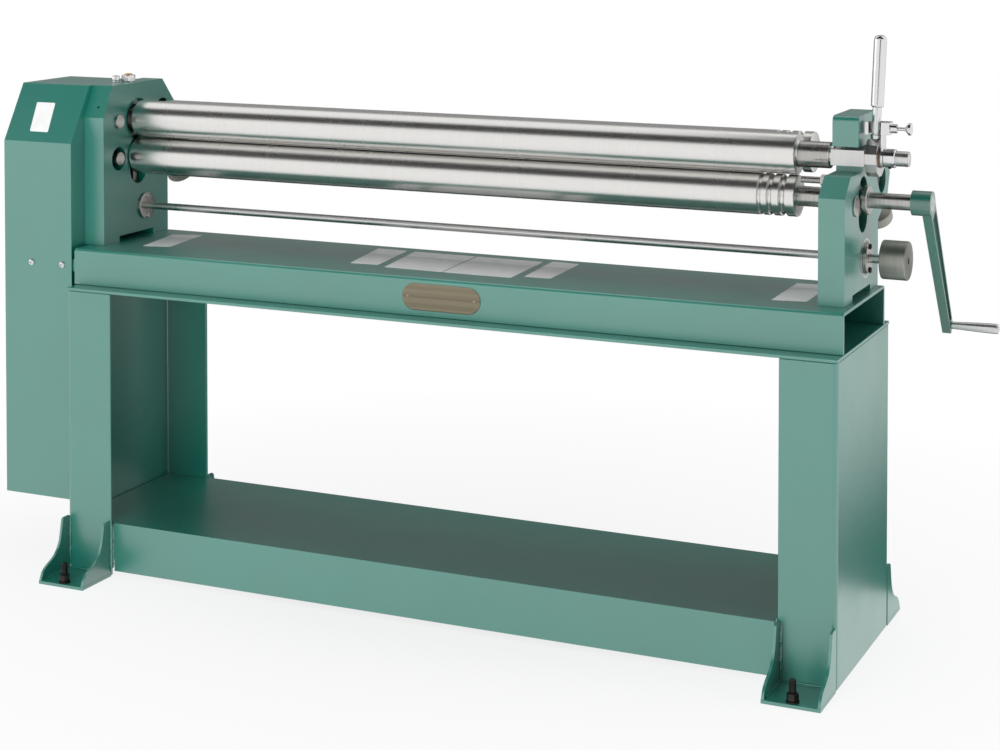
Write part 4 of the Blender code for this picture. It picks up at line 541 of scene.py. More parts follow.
class Shop:
    """Makes bevelled copies of the model's plates and castings, and turned pieces by spin."""

    def __init__(self, frame: dict) -> None:
        """Keeps the frame and builds every finish.
        """
        effects = Effects()
        self.frame = frame
        self.finishes = {kind.name: kind.material(effects) for kind in FINISHES}

    def _place(self, form: Form, name: str, dress: Dress, sharp_deg: float) -> bpy.types.Object:
        """Shades a form smooth with sharp creases, and puts it in the scene on its body.

        Args:
            form: The form, in metres; it is freed.
            name: The piece's name.
            dress: Its finish, slot and body.
            sharp_deg: The turn between faces, in degrees, from which an edge stays sharp.

        Returns:
            The piece.
        """
        bmesh.ops.recalc_face_normals(form, faces=form.faces[:])
        for face in form.faces:
            face.smooth = True
        for edge in form.edges:
            edge.smooth = edge.is_manifold and edge.calc_face_angle(0.0) < math.radians(sharp_deg)
        mesh = bpy.data.meshes.new(name)
        form.to_mesh(mesh)
        form.free()
        mesh.materials.append(self.finishes[dress.finish])
        piece = bpy.data.objects.new(name, mesh)
        bpy.context.scene.collection.objects.link(piece)
        even = piece.modifiers.new("even_shading", "WEIGHTED_NORMAL")
        even.keep_sharp = True
        even.weight = 80
        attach(piece, dress.body.value)
        LOG.info("%s: %d faces, on %s", name, len(mesh.polygons), dress.body.value)
        return piece

    def soften(self, node: str, dress: Dress, width: float, segments: int = 3,
               from_deg: float = 24.0, split: bool = False) -> None:
        """Makes a bevelled copy of a model node that takes its place.

        Args:
            node: The node's name.
            dress: Its finish, slot and body.
            width: The bevel's width.
            segments: The bevel's segments.
            from_deg: The least turn of an edge that is bevelled, in degrees.
            split: Whether faces with many corners are cut into triangles first.
        """
        source = self.frame["nodes"][node]
        form = bmesh.new()
        form.from_mesh(source.data)
        form.transform(source.matrix_world)
        bmesh.ops.remove_doubles(form, verts=form.verts[:], dist=SAME_POINT_M)
        bmesh.ops.recalc_face_normals(form, faces=form.faces[:])
        bmesh.ops.dissolve_limit(form, angle_limit=math.radians(FLAT_DEG),
                                 verts=form.verts[:], edges=form.edges[:])
        if split:
            many = [face for face in form.faces if len(face.verts) > MANY_CORNERS]
            bmesh.ops.triangulate(form, faces=many)
        edges = [edge for edge in form.edges if edge.is_manifold
                 and edge.calc_face_angle(0.0) > math.radians(from_deg)
                 and edge.calc_length() > SHORTEST_BEVELLED_M]
        bmesh.ops.bevel(form, geom=edges, affect="EDGES", offset=width * MM,
                        offset_type="OFFSET", segments=segments, profile=0.5, material=-1,
                        clamp_overlap=True, loop_slide=True)
        piece = self._place(form, node + "_finished", dress, sharp_deg=40.0)
        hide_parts(node)

    def shaped(self, name: str, form: Form, dress: Dress, replaces: Sequence[str] = (),
               sharp_deg: float = 60.0) -> None:
        """Puts a free form in the scene.

        Args:
            name: The piece's name.
            form: The form, in millimetres; it is freed.
            dress: Its finish, slot and body.
            replaces: The model nodes that the piece stands for.
            sharp_deg: The turn from which an edge stays sharp, in degrees.
        """
        form.transform(Matrix.Scale(MM, 4))
        piece = self._place(form, name, dress, sharp_deg)
        if replaces:
            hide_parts(*replaces)

    def turned(self, name: str, profile: Profile, place: Point, dress: Dress,
               replaces: Sequence[str] = (), along: Point = ALONG, segments: int = 96,
               sharp_deg: float = 32.0) -> None:
        """Turns a closed profile about an axis.

        Args:
            name: The piece's name.
            profile: Points as (distance along the axis, radius), from end to end.
            place: Where the axis starts.
            dress: Its finish, slot and body.
            replaces: The model nodes that the piece stands for.
            along: The axis direction.
            segments: The steps of the turn.
            sharp_deg: The turn from which a ring edge stays sharp, in degrees.
        """
        form = turned_form(profile, segments)
        form.transform(aimed(place, along))
        self.shaped(name, form, dress, replaces, sharp_deg)

    def dress(self, node: str, finish: str) -> None:
        """Gives a node that is carried over a better material.

        Args:
            node: The node's name.
            finish: The material's name.
        """
        mesh = self.frame["nodes"][node].data
        mesh.materials.clear()
        mesh.materials.append(self.finishes[finish])


def aimed(place: Point, along: Point = ALONG) -> Matrix:
    """Gives the move that sets a form on the X axis at a place, along a direction."""
    turn = Vector(ALONG).rotation_difference(Vector(along).normalized())
    return Matrix.Translation(place) @ turn.to_matrix().to_4x4()


def turned_form(profile: Profile, segments: int) -> Form:
    """Spins a profile about the X axis.

    Args:
        profile: Points as (distance along the axis, radius).
        segments: The steps of the turn.

    Returns:
        The closed form.
    """
    form = bmesh.new()
    points = [form.verts.new((along, 0.0, radius)) for along, radius in profile]
    edges = [form.edges.new(pair) for pair in zip(points, points[1:])]
    bmesh.ops.spin(form, geom=points + edges, cent=(0, 0, 0), axis=ALONG, angle=FULL_TURN,
                   steps=segments, use_merge=True, use_duplicate=False)
    bmesh.ops.remove_doubles(form, verts=form.verts[:], dist=SAME_POINT_MM)
    bmesh.ops.recalc_face_normals(form, faces=form.faces[:])
    return form


def lofted(rings: Sequence[Sequence[Point]]) -> Form:
    """Joins closed rings of points, each to the next, and closes both ends.

    Args:
        rings: The rings, each with the same number of points.

    Returns:
        The closed form.
    """
    form = bmesh.new()
    loops = [[form.verts.new(point) for point in ring] for ring in rings]
    count = len(loops[0])
    for before, after in zip(loops, loops[1:]):
        for index in range(count):
            turn = (index + 1) % count
            form.faces.new((before[index], before[turn], after[turn], after[index]))
    form.faces.new(loops[0])
    form.faces.new(loops[-1])
    bmesh.ops.recalc_face_normals(form, faces=form.faces[:])
    return form


def merged(forms: Iterable[Form]) -> Form:
    """Puts several forms in one.

    Args:
        forms: The forms; each is freed.

    Returns:
        One form with them all.
    """
    whole = bmesh.new()
    for form in forms:
        mesh = bpy.data.meshes.new("merge")
        form.to_mesh(mesh)
        form.free()
        whole.from_mesh(mesh)
        bpy.data.meshes.remove(mesh)
    return whole


def flute(form: Form, start: float, least: float, depth: float, count: int = 36) -> None:
    """Cuts flutes round the outer end of a turned form.

    Args:
        form: The form, on the X axis.
        start: How far from 0 along the axis they start.
        least: The radius from which they are cut.
        depth: Their depth, as a share of the radius.
        count: Their number.
    """
    for vert in form.verts:
        if abs(vert.co.x) > start and math.hypot(vert.co.y, vert.co.z) > least:
            around = math.atan2(vert.co.z, vert.co.y)
            share = 1.0 - depth * (0.5 + 0.5 * math.cos(count * around))
            vert.co.y *= share
            vert.co.z *= share


def rounded(corners: Profile, radius: float, steps: int = 3) -> list[tuple[float, float]]:
    """Rounds the inner corners of an open profile.

    Args:
        corners: The profile's corners.
        radius: The rounding's radius, cut down on short runs.
        steps: Points per corner.

    Returns:
        The rounded profile.
    """
    points = [Vector(corner) for corner in corners]
    result = [tuple(points[0])]
    for before, here, after in zip(points, points[1:], points[2:]):
        back, ahead = before - here, after - here
        reach = min(radius, 0.45 * back.length, 0.45 * ahead.length)
        start = here + back.normalized() * reach
        end = here + ahead.normalized() * reach
        for step in range(steps + 1):
            share = step / steps
            result.append(tuple(start.lerp(here, share).lerp(here.lerp(end, share), share)))
    result.append(tuple(points[-1]))
    return result


def thread(start: float, end: float, radius: float, depth: float, pitch: float) -> Profile:
    """A screw thread drawn as close rings.

    Args:
        start: Where the thread starts along the axis.
        end: Where it ends.
        radius: Its outer radius.
        depth: How deep its grooves are.
        pitch: The distance between grooves.

    Returns:
        The profile's points, from start to end.
    """
    count = max(2, int(abs(end - start) / pitch))
    step = (end - start) / count
    points = []
    for index in range(count):
        at = start + index * step
        points += [(at + 0.10 * step, radius), (at + 0.40 * step, radius),
                   (at + 0.60 * step, radius - depth), (at + 0.90 * step, radius - depth)]
    return points


def circle(radius: float, count: int) -> list[tuple[float, float]]:
    """Gives points on a circle about 0, in order."""
    turns = (FULL_TURN * index / count for index in range(count))
    return [(radius * math.cos(turn), radius * math.sin(turn)) for turn in turns]


def hex_nut(start: float, end: float, corner: float, chamfer: float = 1.3) -> Form:
    """Draws a hexagon nut along X with its corners turned off at both ends.

    Args:
        start: Where it starts along its axis.
        end: Where it ends.
        corner: The radius over its corners.
        chamfer: How far its corners are turned off.

    Returns:
        The form.
    """
    steps, half_side = 36, math.pi / 6
    flat = corner * math.cos(half_side)
    turns = [FULL_TURN * index / steps for index in range(steps)]
    sides = [flat / math.cos((turn + half_side) % (2 * half_side) - half_side)
             for turn in turns]
    rim = flat - 0.2
    ends = ((start, rim), (start + chamfer, corner), (end - chamfer, corner), (end, rim))
    return lofted([[(along, min(reach, side) * math.cos(turn), min(reach, side) * math.sin(turn))
                    for turn, side in zip(turns, sides)] for along, reach in ends])


def label_form(corners: Sequence[Point], thick: float, cut: float = 2.4,
               sunk: float = 0.15) -> Form:
    """Draws a thin film on four corners, with its corners cut round.

    Args:
        corners: The four corners in order, seen anticlockwise.
        thick: The film's thickness, out from the surface.
        cut: How far along its sides each corner is cut.
        sunk: How far it reaches into the surface.

    Returns:
        The form.
    """
    points = [Vector(corner) for corner in corners]
    outward = (points[1] - points[0]).cross(points[3] - points[0]).normalized()
    outline = []
    for index, corner in enumerate(points):
        before, after = points[index - 1], points[(index + 1) % 4]
        start = corner + (before - corner).normalized() * cut
        end = corner + (after - corner).normalized() * cut
        for share in (0.0, 0.25, 0.5, 0.75, 1.0):
            outline.append(start.lerp(corner, share).lerp(corner.lerp(end, share), share))
    return lofted([[point - outward * sunk for point in outline],
                   [point + outward * thick for point in outline]])


@dataclass(frozen=True)
class WeldBead:
    """A hand-laid weld: a lumpy bead along a line.

    Attributes:
        start: Where the bead starts.
        end: Where it ends.
        radius: Its half thickness.
        seed: A number that varies its lumps.
        spacing: The distance between its rings.
        corners: The corners of a ring.
    """

    start: Point
    end: Point
    radius: float
    seed: int
    spacing: float = 2.2
    corners: int = 8

    def _swell(self, step: int) -> float:
        """The bead's thickness at one of its rings.

        Args:
            step: The ring's number.

        Returns:
            A share of the bead's half thickness.
        """
        ripple = 0.10 * math.sin(step * 2.1 + self.seed)
        slow = 0.14 * math.sin(step * 0.37 + 1.7 * self.seed)
        return 0.86 + ripple + slow

    def form(self) -> Form:
        """Draws the bead.

        Returns:
            A closed form.
        """
        start = Vector(self.start)
        run = Vector(self.end) - start
        count = max(6, int(run.length / self.spacing))
        side = run.normalized().orthogonal().normalized()
        across = run.normalized().cross(side)
        rings = []
        for step in range(count + 1):
            share = step / count
            fade = min(1.0, 0.35 + 4.0 * min(share, 1.0 - share))
            wander = 0.12 * self.radius * math.sin(step * 0.9 + self.seed)
            middle = start + run * share + side * wander
            radius = self.radius * self._swell(step) * fade
            rings.append([middle + side * y + across * z
                          for y, z in circle(radius, self.corners)])
        return lofted(rings)


@dataclass(frozen=True)
class Stand:
    """Legs, shelf, top plate, feet with their welds, and the anchor bolts.

    Attributes:
        shop: The piece maker.
        left: The left leg's outer side, along the machine.
        right: The right leg's outer side.
        flange: The width of a leg's flange.
        face: How far a leg's front and back are from the middle.
        reach: How far a foot stands out from its leg.
        bolt_inset: How far an anchor bolt is from its foot's end.
        stud: An anchor bolt's profile, up from the floor.
        washer: Its washer's profile.
        nut: Where its nut starts and ends, and its radius over the corners.
        top: The height of the short beads under the top plate.
    """

    shop: Shop
    left: float = -794.25
    right: float = 774.95
    flange: float = 103.0
    face: float = 178.0
    reach: float = 96.0
    bolt_inset: float = 13.5
    stud: Profile = ((6.3, 0.0), (6.3, 5.9), (22.0, 5.9), *thread(22.2, 43.4, 6.0, 0.7, 1.75),
                     (43.6, 5.2), (44.8, 4.4), (44.8, 0.0))
    washer: Profile = tuple(rounded(((6.4, 0.0), (6.4, 11.4), (8.7, 11.4), (8.7, 0.0)), 0.5))
    nut: Point = (8.8, 21.6, 10.6)
    top: float = 558.0

    def build(self) -> None:
        """Builds the stand."""
        for node, width, segments in (("left_leg", 1.6, 3), ("right_leg", 1.6, 3),
                                      ("stand_top", 1.2, 2), ("bottom_shelf", 1.6, 3)):
            self.shop.soften(node, PAINTED, width, segments)
        for side, x_name in ((-1, "left"), (1, "right")):
            for depth, y_name in ((-1, "front"), (1, "back")):
                end = f"{y_name}_{x_name}"
                self.shop.soften("foot_" + end, PAINTED, width=1.2, split=True)
                self._anchor(end, side, depth)
                self._foot_welds(end, side, depth)
        self._shelf_and_top_welds()

    def _outer(self, side: int) -> float:
        """Gives the outer side of the left leg for -1, of the right for 1."""
        return self.left if side < 0 else self.right

    def _lay(self, name: str, beads: Iterable[tuple[Point, Point, float, int]]) -> None:
        """Lays welds, each given as the start, end, radius and seed of a bead."""
        self.shop.shaped(name, merged(WeldBead(*bead).form() for bead in beads), PAINTED)

    def _anchor(self, end: str, side: int, depth: int) -> None:
        """An anchor bolt: a threaded stud, a washer and a chamfered nut.

        Args:
            end: The foot's place name.
            side: -1 at the left leg, 1 at the right.
            depth: -1 at the front, 1 at the back.
        """
        whole = merged([turned_form(self.stud, 32), turned_form(self.washer, 48),
                        hex_nut(*self.nut)])
        x = self._outer(side) - side * self.flange / 2
        y = depth * (self.face + self.reach - self.bolt_inset)
        whole.transform(aimed((x, y, 0.0), UPWARD))
        self.shop.shaped("anchor_bolt_" + end, whole, Dress("black_steel", Slot.DARK),
                         ("foot_bolt_" + end,), sharp_deg=30.0)

    def _foot_welds(self, end: str, side: int, depth: int) -> None:
        """The beads that join a foot's gussets to its leg and its plate.

        Args:
            end: The foot's place name.
            side: -1 at the left leg, 1 at the right.
            depth: -1 at the front, 1 at the back.
        """
        outer = self._outer(side)
        inner = outer - side * self.flange
        face = depth * (self.face + 0.4)
        lip = depth * (self.face + 1.6)
        out = depth * (self.face + self.reach - 14.0)
        self._lay("foot_welds_" + end, (
            ((inner + side * 6.3, face, 12), (inner + side * 6.3, face, 109), 3.9, 5),
            ((outer - side * 6.3, face, 12), (outer - side * 6.3, face, 109), 3.6, 6),
            ((inner - side * 1.2, lip, 9), (inner - side * 1.2, lip, 113), 3.6, 10),
            ((inner + side * 8, face, 6.6), (outer - side * 8, face, 6.6), 3.0, 7),
            ((inner + side * 6.0, face, 7.0), (inner + side * 6.0, out, 7.0), 2.4, 8),
            ((outer - side * 6.0, face, 7.0), (outer - side * 6.0, out, 7.0), 2.4, 9)))

    def _shelf_and_top_welds(self) -> None:
        """The beads that join the shelf's apron and the top plate to the legs."""
        shelf, top = [], []
        for side in (-1, 1):
            edge = self._outer(side) - side * (self.flange + 3.0)
            for depth in (-1, 1):
                y = depth * (self.face - 2.6)
                shelf.append(((edge, y, 16), (edge, y, 104), 3.0, 7 + side + depth))
            x = self._outer(side) - side * 7.6
            for seed, y in ((11, -120.0), (12, 0.0), (13, 120.0)):
                top.append(((x, y - 22, self.top), (x, y + 22, self.top), 2.4, seed))
        self._lay("shelf_welds", shelf)
        self._lay("top_welds", top)


@dataclass(frozen=True)
class Bed:
    """The folded bed, its blank nameplate and the bare labels on it.

    Attributes:
        shop: The piece maker.
        top: The height of the bed's top face.
        film: The thickness of a label.
        labels: The name and corners of each label, as (X, Y) points.
        plate: The X and Z of the nameplate's middle.
        half: Half the nameplate's length.
        tall: Half its height.
        rim: Its outline's size, as a share, at each Y from back to front.
        rivet: A rivet's profile, out from the machine's middle.
        rivet_reach: How far a rivet is from the plate's middle.
    """

    shop: Shop
    top: float = 638.2
    film: float = 0.22
    labels: tuple = (
        ("left", ((-690, -65), (-635, -48), (-652, 98), (-713, 80))),
        ("inner_left", ((-218, -60), (-159, -57), (-178, 104), (-244, 106))),
        ("middle_left", ((-138, -72.5), (-16, -74.6), (-27, 102), (-160, 102))),
        ("middle_right", ((-13, -75), (127, -74.5), (117, 101), (-23, 102))),
        ("inner_right", ((145, -54), (197, -52), (190, 108), (132, 112))),
        ("right", ((628, -78), (689, -68), (686, 95), (625, 93))),
    )
    plate: tuple[float, float] = (16.35, 602.25)
    half: float = 80.0
    tall: float = 25.0
    rim: Profile = ((1.0, -142.35), (1.0, -143.15), (0.985, -143.5), (0.955, -143.5),
                    (0.935, -143.0))
    rivet: Profile = ((142.2, 0.0), (142.2, 2.6), (143.1, 2.5), (143.7, 1.9), (144.0, 1.0),
                      (144.1, 0.0))
    rivet_reach: float = 68.0

    def build(self) -> None:
        """Builds the bed."""
        self.shop.soften("bed", PAINTED, width=1.4)
        self._nameplate()
        self._rivets()
        for place, corners in self.labels:
            form = label_form([(x, y, self.top) for x, y in corners], self.film)
            self.shop.shaped(f"bed_label_{place}_blank", form, LABELLED)

    def _nameplate(self) -> None:
        """A blank plate with straight long sides, round ends and a raised rim."""
        count = 96
        ring = []
        for index in range(count):
            turn = FULL_TURN * (index + 0.5) / count
            straight = math.copysign(self.half - self.tall, math.cos(turn))
            ring.append((self.tall * math.cos(turn) + straight, self.tall * math.sin(turn)))
        rings = []
        for share, y in self.rim:
            inset = (1.0 - share) * self.half
            rings.append([(self.plate[0] + x * (self.half - inset) / self.half, y,
                           self.plate[1] + z * (self.tall - inset) / self.tall)
                          for x, z in ring])
        self.shop.shaped("nameplate_blank", lofted(rings), Dress("plate_metal", Slot.STEEL),
                         ("nameplate",), sharp_deg=50.0)

    def _rivets(self) -> None:
        """The two dome rivets that hold the nameplate."""
        domes = []
        for side in (-1, 1):
            dome = turned_form(self.rivet, 32)
            x, z = self.plate
            dome.transform(aimed((x + side * self.rivet_reach, 0.0, z), OUTWARD))
            domes.append(dome)
        self.shop.shaped("nameplate_rivets", merged(domes), Dress("turned_steel", Slot.STEEL),
                         sharp_deg=50.0)


@dataclass(frozen=True)
class Frames:
    """The two cast end frames with their bolts, bosses and oiling gear.

    Attributes:
        shop: The piece maker.
        left_face: Where the left rod flange sits, along the machine.
        right_face: Where the right one sits.
        flange_radius: The radius of a rod flange.
        flange_thick: Its thickness.
        screw_reach: How far its screws are above and below the rod.
        screw: A screw's profile, from the flange's outer face.
        spot_face: The bare ring's profile.
        plug: The plug's profile.
        plug_place: The plug's axis.
        oil_cap: The oil cap's profile, up from the floor.
        oil_cap_place: The oil cap's axis.
        set_screw: The profile of the screw over the ball bush.
        lock_nut: Where its nut starts and ends, its radius over the corners, its chamfer.
        bush: The axis of both.
        edge_stop: The edge stop's profile.
        stop_nut: The same of the edge stop's nut.
        stop_place: The edge stop's axis.
    """

    shop: Shop
    left_face: float = -761.35
    right_face: float = 763.65
    flange_radius: float = 27.5
    flange_thick: float = 6.0
    screw_reach: float = 21.0
    screw: Profile = ((-1.5, 0.0), (-1.5, 5.2), (2.4, 5.2), (3.0, 4.6), (3.0, 2.9), (0.9, 2.7),
                      (0.9, 0.0))
    spot_face: Profile = ((762.95, 31.5), (762.95, 35.6), (763.5, 35.4), (763.5, 31.7),
                          (762.95, 31.5))
    plug: Profile = ((749.65, 0.0), (749.65, 11.0), (763.65, 11.0), (763.65, 17.9),
                     (764.1, 18.4), (765.7, 18.4), (766.25, 17.8), (766.35, 16.9),
                     (765.9, 15.6), (765.6, 14.8), (765.6, 2.2), (764.9, 0.0))
    plug_place: Point = (0.0, -24.0, 803.7)
    oil_cap: Profile = ((949.3, 0.0), (949.3, 2.4), (959.35, 2.4), (959.35, 6.9), (959.8, 7.4),
                        (961.6, 7.4), (962.1, 6.9), (962.3, 5.9), (963.0, 5.7), (963.9, 6.0),
                        (964.3, 7.6), (964.8, 8.0), (970.4, 8.0), (971.9, 7.3), (972.9, 5.6),
                        (973.3, 3.0), (973.3, 0.0))
    oil_cap_place: Point = (-799.45, 4.0, 0.0)
    set_screw: Profile = ((914.0, 0.0), (914.0, 6.8), (915.0, 7.6), (973.0, 7.6),
                          *thread(973.1, 975.2, 7.9, 0.6, 1.2), (975.6, 7.2), (976.0, 6.6),
                          (976.0, 3.6), (974.0, 3.4), (974.0, 0.0))
    lock_nut: tuple[float, ...] = (959.35, 973.3, 15.6, 1.8)
    bush: Point = (-785.15, ROLL_Y, 0.0)
    edge_stop: Profile = ((668.35, 0.0), (668.35, 4.9), (669.2, 5.7),
                          *thread(669.4, 716.0, 6.0, 0.8, 1.75), (716.3, 6.0), (744.35, 6.0),
                          (744.35, 0.0))
    stop_nut: tuple[float, ...] = (705.1, 715.9, 10.9, 1.2)
    stop_place: Point = (0.0, -35.0, 847.5)

    def build(self) -> None:
        """Builds the frames."""
        for node in ("left_frame", "right_frame"):
            self.shop.soften(node, Dress("cast_enamel", Slot.CAST), width=1.8)
        for end in ("front_left", "back_left", "front_right", "back_right"):
            self.shop.dress("frame_bolt_" + end, "black_steel")
        self._flange("rod_flange_left", self.left_face, 7.6, "satin_steel")
        self._flange("rod_flange_right", self.right_face, 8.7, "black_steel")
        self.shop.turned("flange_spot_face", self.spot_face, ROD_AXIS,
                         Dress("worn_rim", Slot.STEEL))
        self.shop.turned("plug_turned", self.plug, self.plug_place,
                         Dress("turned_steel", Slot.STEEL), ("right_frame_plug",))
        self.shop.turned("oil_cap_turned", self.oil_cap, self.oil_cap_place,
                         Dress("bright_chrome", Slot.STEEL), ("oil_cap",), UPWARD, segments=64)
        self._bearing_lock()
        self._edge_stop()
        for node, body in (("lower_idler_pin", Body.LOWER_CARRIAGE),
                           ("upper_idler_pin", Body.STAND)):
            self.shop.soften(node, Dress("turned_steel", Slot.STEEL, body), width=0.9,
                             from_deg=40.0)

    def _flange(self, node: str, inner: float, bore: float, screws: str) -> None:
        """A turned flange on the cross rod with two sunk cap screws.

        Args:
            node: The model node that it stands for.
            inner: Where its inner face is, along the machine.
            bore: The radius of the rod's hole.
            screws: The finish of its two screws.
        """
        outer = inner + self.flange_thick
        ring = ((inner, bore), (inner, self.flange_radius), (outer - 1.4, self.flange_radius),
                (outer - 0.4, 27.1), (outer, 26.2), (outer, bore + 1.2), (outer - 0.8, bore),
                (inner, bore))
        self.shop.turned(node + "_turned", ring, ROD_AXIS, Dress("turned_steel", Slot.STEEL),
                         (node,))
        heads = []
        for side in (-1, 1):
            head = turned_form(self.screw, 32)
            head.transform(aimed((outer, ROD_Y, ROD_Z + side * self.screw_reach)))
            heads.append(head)
        self.shop.shaped(node + "_screws", merged(heads), Dress(screws, Slot.DARK),
                         sharp_deg=35.0)

    def _bearing_lock(self) -> None:
        """The lock nut over the ball bush and the set screw through it."""
        nut = hex_nut(*self.lock_nut)
        nut.transform(aimed(self.bush, UPWARD))
        self.shop.shaped("bearing_lock_nut_turned", nut, Dress("bright_chrome", Slot.STEEL),
                         ("bearing_lock_nut",), sharp_deg=30.0)
        self.shop.turned("bearing_set_screw_turned", self.set_screw, self.bush,
                         Dress("bearing_brass", Slot.STEEL), ("bearing_set_screw",), UPWARD,
                         segments=48)

    def _edge_stop(self) -> None:
        """The threaded stop for the sheet's edge, with its nut."""
        whole = merged([turned_form(self.edge_stop, 32), hex_nut(*self.stop_nut)])
        whole.transform(aimed(self.stop_place))
        self.shop.shaped("edge_stop_turned", whole, Dress("turned_steel", Slot.STEEL),
                         ("edge_stop_screw",), sharp_deg=32.0)


@dataclass(frozen=True)
class Cover:
    """The folded gear cover with its bracket, screws and bare label.

    Attributes:
        shop: The piece maker.
        label: The label's corners.
        film: The label's thickness.
        screw: A screw's profile, out from where its axis starts.
        screw_y: Where a screw's axis starts, in depth.
        screw_z: Its height.
    """

    shop: Shop
    label: tuple[Point, ...] = ((-917.0, -129.0, 866.6), (-873.0, -129.0, 866.5),
                                (-877.0, -97.0, 922.4), (-922.0, -97.0, 922.6))
    film: float = 0.25
    screw: Profile = ((0.0, 0.0), (0.0, 3.0), (9.4, 3.0), (9.4, 6.2), (10.0, 6.5), (11.2, 6.3),
                      (12.2, 5.4), (12.7, 3.9), (12.8, 2.6), (11.3, 2.4), (11.3, 0.0))
    screw_y: float = -130.7
    screw_z: float = 602.5

    def build(self) -> None:
        """Builds the cover."""
        self.shop.soften("gear_cover", PAINTED, width=1.0)
        self.shop.soften("cover_bracket", PAINTED, width=0.6, segments=2)
        for node, x in (("cover_screw_outer", -906.35), ("cover_screw_inner", -831.35)):
            self.shop.turned(node + "_turned", self.screw, (x, self.screw_y, self.screw_z),
                             Dress("satin_steel", Slot.DARK), (node,), OUTWARD, segments=48)
        self.shop.shaped("cover_label_blank", label_form(self.label, self.film), LABELLED)


@dataclass(frozen=True)
class Rolls:
    """The three ground rolls, turned finely from end to end.

    Attributes:
        shop: The piece maker.
        left: Where the bodies of the lower and the rear roll end, at the left.
        upper_left: Where the upper roll's body ends.
        left_end: The profile of a driven roll's left end.
        lower_right: The profile of the lower roll's right end.
        upper_right: The same of the upper roll.
        rear_right: The same of the rear roll.
        rear_left: The profile of its left end.
        grooves: How far each wire groove is from a body's right end, and its width.
        bevel: The bevel at a body's ends.
        crest: How far the middle of that bevel is from the sharp corner.
        lip: The small bevel at a groove's edges.
    """

    shop: Shop
    left: float = -759.15
    upper_left: float = -753.15
    left_end: Profile = ((-820.65, 20.0), (-820.65, 14.0), (-840.65, 14.0), (-841.65, 13.0),
                         (-841.65, 0.0))
    lower_right: Profile = ((882.55, 0.0), (882.55, 14.0), (763.35, 14.0), (763.35, 18.0),
                            (648.05, 18.0), (BODY_RIGHT, 19.2))
    upper_right: Profile = ((839.05, 0.0), (840.6, 2.2), (843.6, 2.4), (845.05, 3.6),
                            (845.05, 8.3), (844.3, 9.0), (712.55, 9.0), (712.55, 17.2),
                            (711.75, 18.0), (705.85, 18.0), (705.85, 22.6), (704.95, 23.5),
                            (648.25, 23.5), (BODY_RIGHT, 24.9))
    rear_right: Profile = ((755.05, 0.0), (755.05, 15.0), (647.85, 15.0), (BODY_RIGHT, 16.0))
    rear_left: Profile = ((-759.15, 15.0), (-800.35, 15.0), (-800.35, 0.0))
    grooves: Profile = ((23.0, 11.0), (46.0, 9.0), (65.0, 7.0))
    bevel: float = 1.5
    crest: float = 0.45
    lip: float = 0.5

    def build(self) -> None:
        """Builds the rolls."""
        lower = (*self.lower_right, *self._body(self.left, True), (self.left, 20.0),
                 *self.left_end)
        self._roll("lower_roll", lower, LOWER_AXIS, Body.LOWER_SHAFT)
        upper = (*self.upper_right, *self._body(self.upper_left, False),
                 (self.upper_left, 20.0), *self.left_end)
        self._roll("upper_roll", upper, UPPER_AXIS, Body.UPPER_SHAFT)
        rear = (*self.rear_right, *self._body(self.left, True), *self.rear_left)
        self._roll("rear_roll", rear, REAR_AXIS, Body.REAR_ROLL)
        self._neck("lower_neck", 648.25, 762.0, 18.04, LOWER_AXIS, Body.LOWER_SHAFT)
        self._neck("crank_shaft", 776.0, 881.6, 14.04, LOWER_AXIS, Body.LOWER_SHAFT)
        self._neck("upper_neck", 648.65, 704.6, 23.54, UPPER_AXIS, Body.UPPER_SHAFT)

    def _body(self, left: float, grooved: bool) -> list[tuple[float, float]]:
        """A roll's body from its right end to its left, with its wire grooves.

        Args:
            left: The left end along the machine.
            grooved: Whether the wire grooves are cut in it.

        Returns:
            The profile's points.
        """
        top, bevel, crest, lip = ROLL_RADIUS, self.bevel, self.crest, self.lip
        points = [(BODY_RIGHT, top - bevel), (BODY_RIGHT - crest, top - crest),
                  (BODY_RIGHT - bevel, top)]
        for place, width in self.grooves if grooved else ():
            middle, half = BODY_RIGHT - place, width / 2
            points += [(middle + half + lip, top), (middle + half, top - lip)]
            points += [(middle + half * math.cos(turn), top - half * math.sin(turn))
                       for turn in (math.pi * step / 12 for step in range(1, 12))]
            points += [(middle - half, top - lip), (middle - half - lip, top)]
        return points + [(left + bevel, top), (left + crest, top - crest), (left, top - bevel)]

    def _roll(self, node: str, profile: Profile, axis: Point, body: Body) -> None:
        """Turns one roll from its profile, on its axis."""
        self.shop.turned(node + "_turned", profile, axis, Dress("ground_roll", Slot.STEEL, body),
                         (node,), segments=128, sharp_deg=25.0)

    def _neck(self, name: str, start: float, end: float, radius: float, axis: Point,
              body: Body) -> None:
        """Draws the duller turned surface of a neck over the ground roll.

        Args:
            name: The neck's name.
            start: Where it starts along the machine.
            end: Where it ends.
            radius: Its radius.
            axis: A point on its axis.
            body: The body that it moves with.
        """
        skin = ((start, radius - 0.6), (start, radius - 0.3), (start + 0.3, radius),
                (end - 0.3, radius), (end, radius - 0.3), (end, radius - 0.6),
                (start, radius - 0.6))
        self.shop.turned(name + "_surface", skin, axis, Dress("turned_steel", Slot.STEEL, body),
                         segments=128, sharp_deg=25.0)


